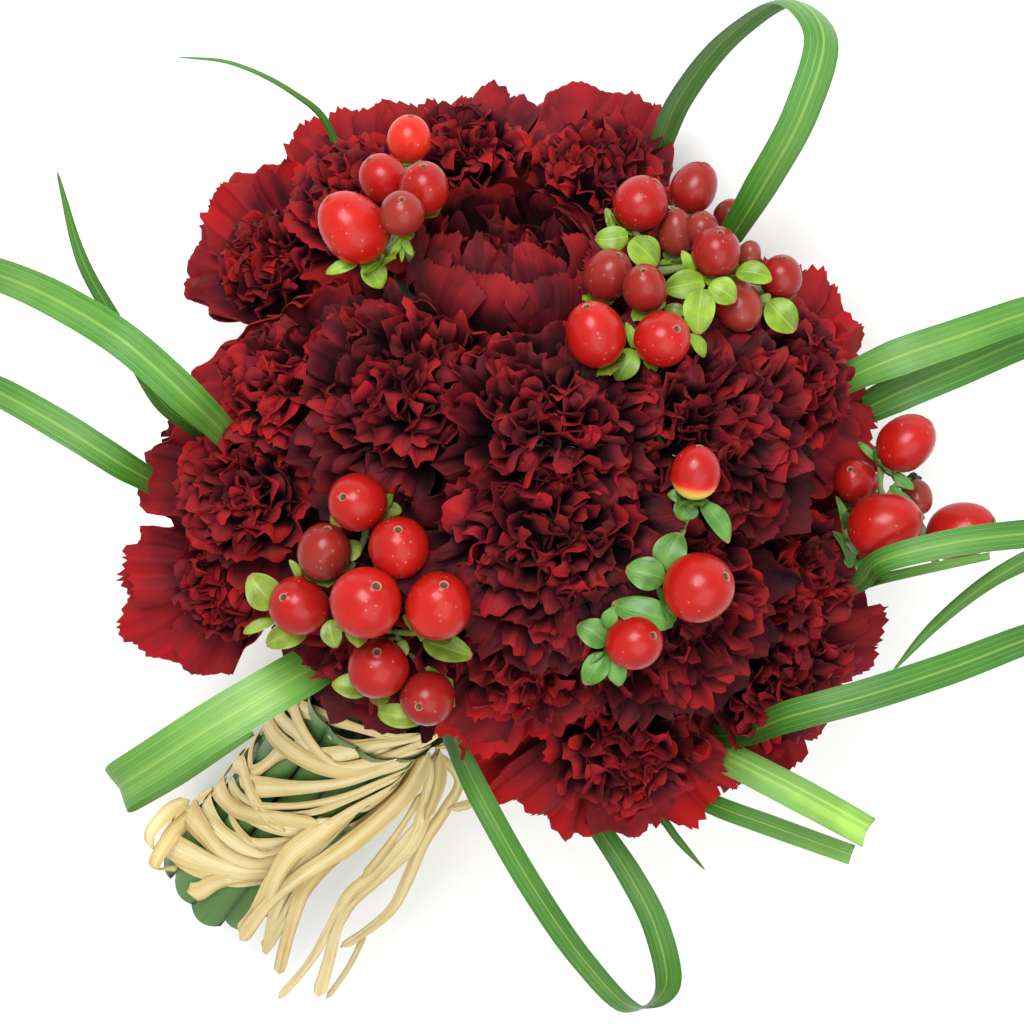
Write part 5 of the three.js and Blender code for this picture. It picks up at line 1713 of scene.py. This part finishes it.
# The loose tails: the width, the height over the lowest tail, then columns and rows in turn from the knot.
TAILS = [
    (4.6, 3.2, 424, 746, 418, 752, 382, 774, 353, 800, 321, 830, 290, 854, 275, 878, 265, 902, 256, 917),
    (3.8, 4.4, 430, 752, 408, 792, 350, 844, 321, 863, 298, 878, 268, 904, 240, 940),
    (2.5, 1.6, 430, 754, 423, 815, 406, 839, 374, 873, 350, 893, 333, 922, 309, 963, 278, 999),
    (3.0, 2.8, 436, 754, 430, 790, 413, 842, 384, 873, 353, 902, 338, 927, 328, 963, 318, 997),
    (2.6, 1.0, 438, 752, 459, 781, 445, 810, 425, 839, 408, 878, 391, 910, 362, 934, 340, 948),
    (1.5, 0.6, 366, 932, 348, 968, 326, 999),
    (3.6, 1.2, 424, 752, 398, 800, 352, 840, 310, 880, 292, 922, 278, 975),
    (3.2, 0.2, 424, 752, 372, 792, 330, 832, 294, 870, 276, 908, 266, 955),
    (2.8, 0.7, 426, 752, 392, 798, 344, 842, 306, 880, 284, 918, 264, 950),
    (3.4, 1.6, 420, 750, 386, 778, 340, 812, 300, 846, 272, 882, 254, 914, 238, 932),
    (1.8, 2.2, 424, 790, 406, 820, 382, 854, 362, 878),
    (2.2, 1.6, 447, 810, 462, 806, 478, 802),
    (1.6, 2.6, 434, 748, 456, 744, 482, 746, 494, 754, 486, 764),
    (2.8, 3.4, 440, 750, 440, 780, 432, 806, 424, 820),
]
# Two strands that stand out from the handle as folded loops, given as strips.
LOOPS = [
    [(190, 800, -138, 3.2), (168, 812, -132, 3.2), (150, 834, -130, 2.2, 30), (151, 846, -132, 1.6, 30),
     (166, 850, -138, 1.4)],
    [(196, 812, -140, 3.4), (174, 832, -134, 3.4), (156, 860, -132, 2.8), (155, 868, -134, 2.4, 35),
     (172, 868, -138, 3.8, -35), (196, 872, -144, 3.6)],
]


def on_handle(column: float, row: float, radius: float) -> Array:
    """Where the line of sight through a column and row meets a cylinder round the handle.

    Args:
        column: the column of the view.
        row: the row of the view.
        radius: the cylinder's radius.

    Returns:
        The angle round the handle and the station along it. The distance from the handle's line is a
        quadratic in the distance along the sight line; its nearer root is taken, or its least value.
    """
    eye = np.array([*VIEW_AXIS, EYE_DISTANCE])
    ray = unit(seen(column, row, -100.0) - eye)
    start = eye - HANDLE_END
    flat_ray = ray - HANDLE_WAY * (ray @ HANDLE_WAY)
    flat_start = start - HANDLE_WAY * (start @ HANDLE_WAY)
    a, b, c = flat_ray @ flat_ray, flat_ray @ flat_start, flat_start @ flat_start - radius**2
    hit = eye + ray * (-b - math.sqrt(max(b * b - a * c, 0.0))) / a
    across = across_of(hit)
    return np.array([math.atan2(across[1], across[0]), station_of(hit)])


@dataclass
class RaffiaMaker:
    """Builds the raffia: the strands wound round the handle, the knot and the loose tails."""

    material: bpy.types.Material
    turns: int = 9

    def add_strand(
        self, skin: Skin, places: Array, faces: Array, width: float, rows: int, draw: np.random.Generator
    ) -> None:
        """Adds one strand.

        Args:
            skin: the piece's patches.
            places: points along its middle.
            faces: the direction of its face at each.
            width: its width, which swings by a fifth along it.
            rows: rows along it.
            draw: random numbers.
        """
        swing = 7.0 * np.linspace(0.0, 1.0, len(places)) + draw.uniform(*ANY_PHASE)
        grid, length = strip_grid(places, width * (1.0 + 0.2 * np.sin(swing)), faces, rows, 0.0)
        u, along = ACROSS_STRIP, length[:, None]
        fold = draw.uniform(0.1, 0.35) * np.cos(1.5 * np.pi * u + draw.uniform(*ANY_PHASE) + 0.06 * along)
        normal = unit(np.cross(np.gradient(grid, axis=1), np.gradient(grid, axis=0)))
        grid = grid + times(fold * (1.0 - u * u), normal)
        grid = drawn_in(grid, np.clip(np.minimum(along, length[-1] - along) / 2.5, 0.08, 1.0))
        place = 0.5 + 0.5 * u + float(draw.integers(1, 90))
        # Painted light and shade: the tone swings across the strand as if its folds were lit from one side,
        # and darkens towards its edges; its own tone differs at random from strand to strand.
        slant_shade = np.sin(1.5 * np.pi * u + 0.06 * along)
        tone = draw.uniform(0.52, 0.80) + 0.13 * slant_shade - 0.32 * np.abs(u) ** 3
        skin.add_sheets(grid, 0.4, together(place, along), tone)

    def wound(self, angles: Array, stations: Array, radius: float) -> tuple[Array, Array]:
        """Places and faces of a strand on the handle, at angles round it and stations along it."""
        away = together(np.cos(angles), np.sin(angles))
        out = (radius + flare(angles, stations))[:, None]
        return handle_point(stations, out * away), away[:, :1] * ACROSS_A + away[:, 1:] * ACROSS_B

    def wraps(self) -> None:
        """Builds the wound strands as one piece that stands for its CAD node."""
        draw = np.random.default_rng(41)
        skin = Skin()
        front = on_handle(300, 770, WRAP_LEAF_RADIUS)[0]
        for turn in range(self.turns):
            angles = front + np.linspace(1.2, FULL_TURN - 1.2, 24)
            swing = draw.uniform(1.5, 4.5) * np.sin(angles + draw.uniform(*ANY_PHASE))
            stations = 19.0 + 4.9 * turn + swing + np.linspace(0.0, 3.5, 24)
            places, faces = self.wound(angles, stations, WRAP_LEAF_RADIUS + 1.15 + 0.3 * (turn % 2))
            self.add_strand(skin, places, faces, draw.uniform(3.2, 4.8), 60, draw)
        beyond = np.array([1.0, 0.5])
        for width, layer, *numbers in BANDS:
            radius = WRAP_LEAF_RADIUS + 1.2 + 0.36 * layer
            knots = np.array([on_handle(*pair, radius) for pair in zip(numbers[::2], numbers[1::2])])
            knots[:, 0] = np.unwrap(knots[:, 0])
            before = knots[0] + (knots[0] - knots[1]) * beyond
            after = knots[-1] + (knots[-1] - knots[-2]) * beyond
            path = SmoothLine(np.array([before, *knots, after])).evenly(24)
            self.add_strand(skin, *self.wound(path[:, 0], path[:, 1], radius), width, 48, draw)
        skin.piece("raffia_wound_strands", [self.material], ["raffia_wraps"])

    def knot(self, skin: Skin, draw: np.random.Generator) -> None:
        """Adds the knot: three short strands wound round its middle, each a tilted ring."""
        for tilt in (0.2, 0.9, 1.7):
            first = unit(np.array([math.cos(tilt), math.sin(tilt), 0.2]))
            second = unit(np.cross(first, np.array([0.1, 0.3, 0.9])))
            away = spun(np.linspace(0.0, 2.2 * np.pi, 20), first, second)
            self.add_strand(skin, KNOT + away * np.array([4.0, 3.2, 3.0]), away, 3.6, 40, draw)

    def tails(self) -> None:
        """Builds the knot and the tails as one piece that stands for its CAD node."""
        draw = np.random.default_rng(77)
        skin = Skin()
        self.knot(skin, draw)
        for width, lift, *numbers in TAILS:
            columns, rows = np.reshape(numbers, (-1, 2)).T
            heights = np.interp(rows, [752, 830, 890, 946, 1000], [-98, -99, -114, -138, -158]) + lift
            sway = [draw.uniform(-most, most, len(rows)) for most in (0.35, 0.3)]
            self.add_strand(skin, seen(columns, rows, heights), unit(together(*sway, 1.0)), width, 60, draw)
        for rows in LOOPS:
            places, widths, faces = faced(rows)
            self.add_strand(skin, places, faces, widths[1], 44, draw)
        skin.piece("raffia_knot_strands", [self.material], ["raffia_knot_and_tails"])


def resting_places() -> list[Row]:
    """Where berries and leaflets lie on the petals: the places across and up the view, heights and radii."""
    places = []
    for spray in SPRAYS:
        for berry in spray.berries:
            places.append((*berry.centre[:2], berry.height - 0.35 * berry.radius, berry.radius))
        for leaf in spray.leaflets:
            way = leaf.level_tip - leaf.root
            reach = max(0.35 * float(np.linalg.norm(way)), 0.5 * VIEW_STEP * leaf.breadth)
            for share in (0.3, 0.72):
                places.append((*(leaf.root + way * share)[:2], leaf.height - 1.3, 0.85 * reach))
    return places


def finish_walls(blooms: list[Bloom]) -> None:
    """Gives each bloom the walls between it and the blooms beside it.

    A wall stands square to the line between two hearts, at the place that parts it as their radii do. The
    walls of the bowl lean less, so that its side stays in view.

    Args:
        blooms: all the blooms.
    """
    for index, bloom in enumerate(blooms):
        for other_index, other in enumerate(blooms):
            between = other.heart - bloom.heart
            if other_index != index and float(np.linalg.norm(between)) <= 2.6 * MODEL_RADIUS:
                share = bloom.radius / (bloom.radius + other.radius)
                share += 0.1 * ((bloom.form is Form.BOWL) - (other.form is Form.BOWL))
                flat = 0.3 if Form.BOWL in (bloom.form, other.form) else 1.0
                way = unit(between * np.array([1.0, 1.0, flat]))
                bloom.walls.append((share * float(between @ way), way, 1.0 if index < other_index else -1.0))


@dataclass
class Studio:
    """The pale surface, the soft light and the camera that looks down on the bunch."""

    surface: float = 3.0
    light: float = 0.82

    def camera(self) -> None:
        """Places the camera at the eye of the view frame, with the view's own up."""
        data = bpy.data.cameras.new("view_camera")
        data.sensor_width = SENSOR_WIDTH
        data.lens = 0.5 * SENSOR_WIDTH * EYE_DISTANCE / (VIEW_STEP * VIEW_MIDDLE)
        data.clip_start = 0.05
        data.clip_end = 20.0
        camera = add_object("view_camera", data)
        eye = to_rest(np.array([*VIEW_AXIS, EYE_DISTANCE]))
        camera.matrix_world = Matrix.Translation(eye.tolist()) @ Matrix(REST_TURN.tolist()).to_4x4()
        bpy.context.scene.camera = camera

    def lamp(self, name: str, place: Row, size: float, power: float) -> None:
        """Adds a soft square lamp that faces the dome.

        Args:
            name: its name.
            place: its position in the view frame, in millimetres.
            size: its side in metres.
            power: its power in watts.
        """
        data = bpy.data.lights.new(name, "AREA")
        data.shape = "SQUARE"
        data.size = size
        data.energy = power
        where = to_rest(np.array(place, float))
        aim = unit(BUNCH_SHIFT * MILLIMETRE - where)
        lamp = add_object(name, data)
        lamp.matrix_world = Matrix.Translation(where.tolist()) @ Matrix(turn_to(-aim).tolist()).to_4x4()

    def build(self) -> None:
        """Builds the surface, the lights and the camera."""
        side = self.surface
        mesh = bpy.data.meshes.new("pale_surface")
        corners = [(-side, -side, 0.0), (side, -side, 0.0), (side, side, 0.0), (-side, side, 0.0)]
        mesh.from_pydata(corners, [], [(0, 1, 2, 3)])
        mesh.materials.append(SurfaceFinish().material())
        surface = add_object("pale_surface", mesh)
        surface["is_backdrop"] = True
        self.camera()
        self.lamp("key_light", (-95, 225, 650), 0.34, 5.9)
        self.lamp("fill_light", (170, -330, 560), 0.6, 2.8)
        world = bpy.data.worlds.new("soft_light")
        world.use_nodes = True
        background = world.node_tree.nodes["Background"].inputs
        background["Color"].default_value = (1.0, 1.0, 1.0, 1.0)
        background["Strength"].default_value = self.light
        bpy.context.scene.world = world
        bpy.context.scene.view_settings.view_transform = "Standard"


@dataclass
class Bunch:
    """The whole bunch, in the order in which it is tied, with the places where it lies on its petals."""

    rests: list[Row] = field(default_factory=resting_places)

    def members(self) -> tuple[list[Member], list[Member], list[Member]]:
        """The stems, sprays and blade feet with their places in the binding."""
        middles = [np.mean([bloom.calyx_foot for bloom in group], axis=0) for group in STEM_GROUPS]
        stems = [Member(middle, STEM_RADIUS, (i % 3) * 1.5) for i, middle in enumerate(middles)]
        sprays = [Member(s.stalk[0], SPRAY_STEM_RADIUS, 1 + (i % 2) * 1.5) for i, s in enumerate(SPRAYS)]
        starts = [seen(*blade.rows[0][:3]) for blade in BLADES]
        blades = [Member(start, BLADE_FOOT_ROOM, 2 + (i % 3)) for i, start in enumerate(starts)]
        pack_bundle([*stems, *sprays, *blades])
        return stems, sprays, blades

    def build(self) -> None:
        """Builds every piece."""
        stems, sprays, blades = self.members()
        green = stem_finish("carnation_stem", (0.05, 0.13, 0.045), (0.17, 0.30, 0.11)).material()
        for number, (group, member) in enumerate(zip(STEM_GROUPS, stems), 1):
            StemMaker(group, member, number, green).build()
        stalk = stem_finish("hypericum_stalk", (0.09, 0.16, 0.03), (0.30, 0.40, 0.12)).material()
        berry = BerryFinish().material()
        leaves = {hue: leaflet_finish(hue).material() for hue in Hue}
        for number, (spray, member) in enumerate(zip(SPRAYS, sprays), 1):
            SprayMaker(spray, member, number, [stalk, berry, leaves[spray.hue]]).build()
        wrap = WRAP_LEAF_FINISH.material()
        for number, ends in enumerate(WRAP_LEAF_ENDS, 1):
            WrapLeafMaker(ends, number, wrap).build()
        raffia = RaffiaMaker(RAFFIA_FINISH.material())
        raffia.wraps()
        raffia.tails()
        grass = GRASS_FINISH.material()
        for number, (blade, member) in enumerate(zip(BLADES, blades), 1):
            BladeMaker(blade, member, number, grass).build()
        petal = PETAL_FINISH.material()
        blooms = [bloom for group in STEM_GROUPS for bloom in group]
        finish_walls(blooms)
        for number, bloom in enumerate(blooms, 1):
            BloomMaker(bloom, number, petal, self.rests).build()


def corners() -> list[list[float]]:
    """The lowest and highest corners of all that stands for the object, as plain lists."""
    return [list(corner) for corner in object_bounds()]


def main() -> None:
    """Builds the studio and the bunch."""
    logging.basicConfig(level=logging.INFO, format="%(name)s %(message)s")
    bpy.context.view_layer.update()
    Studio().build()
    Bunch().build()


if __name__ == "__main__":
    main()
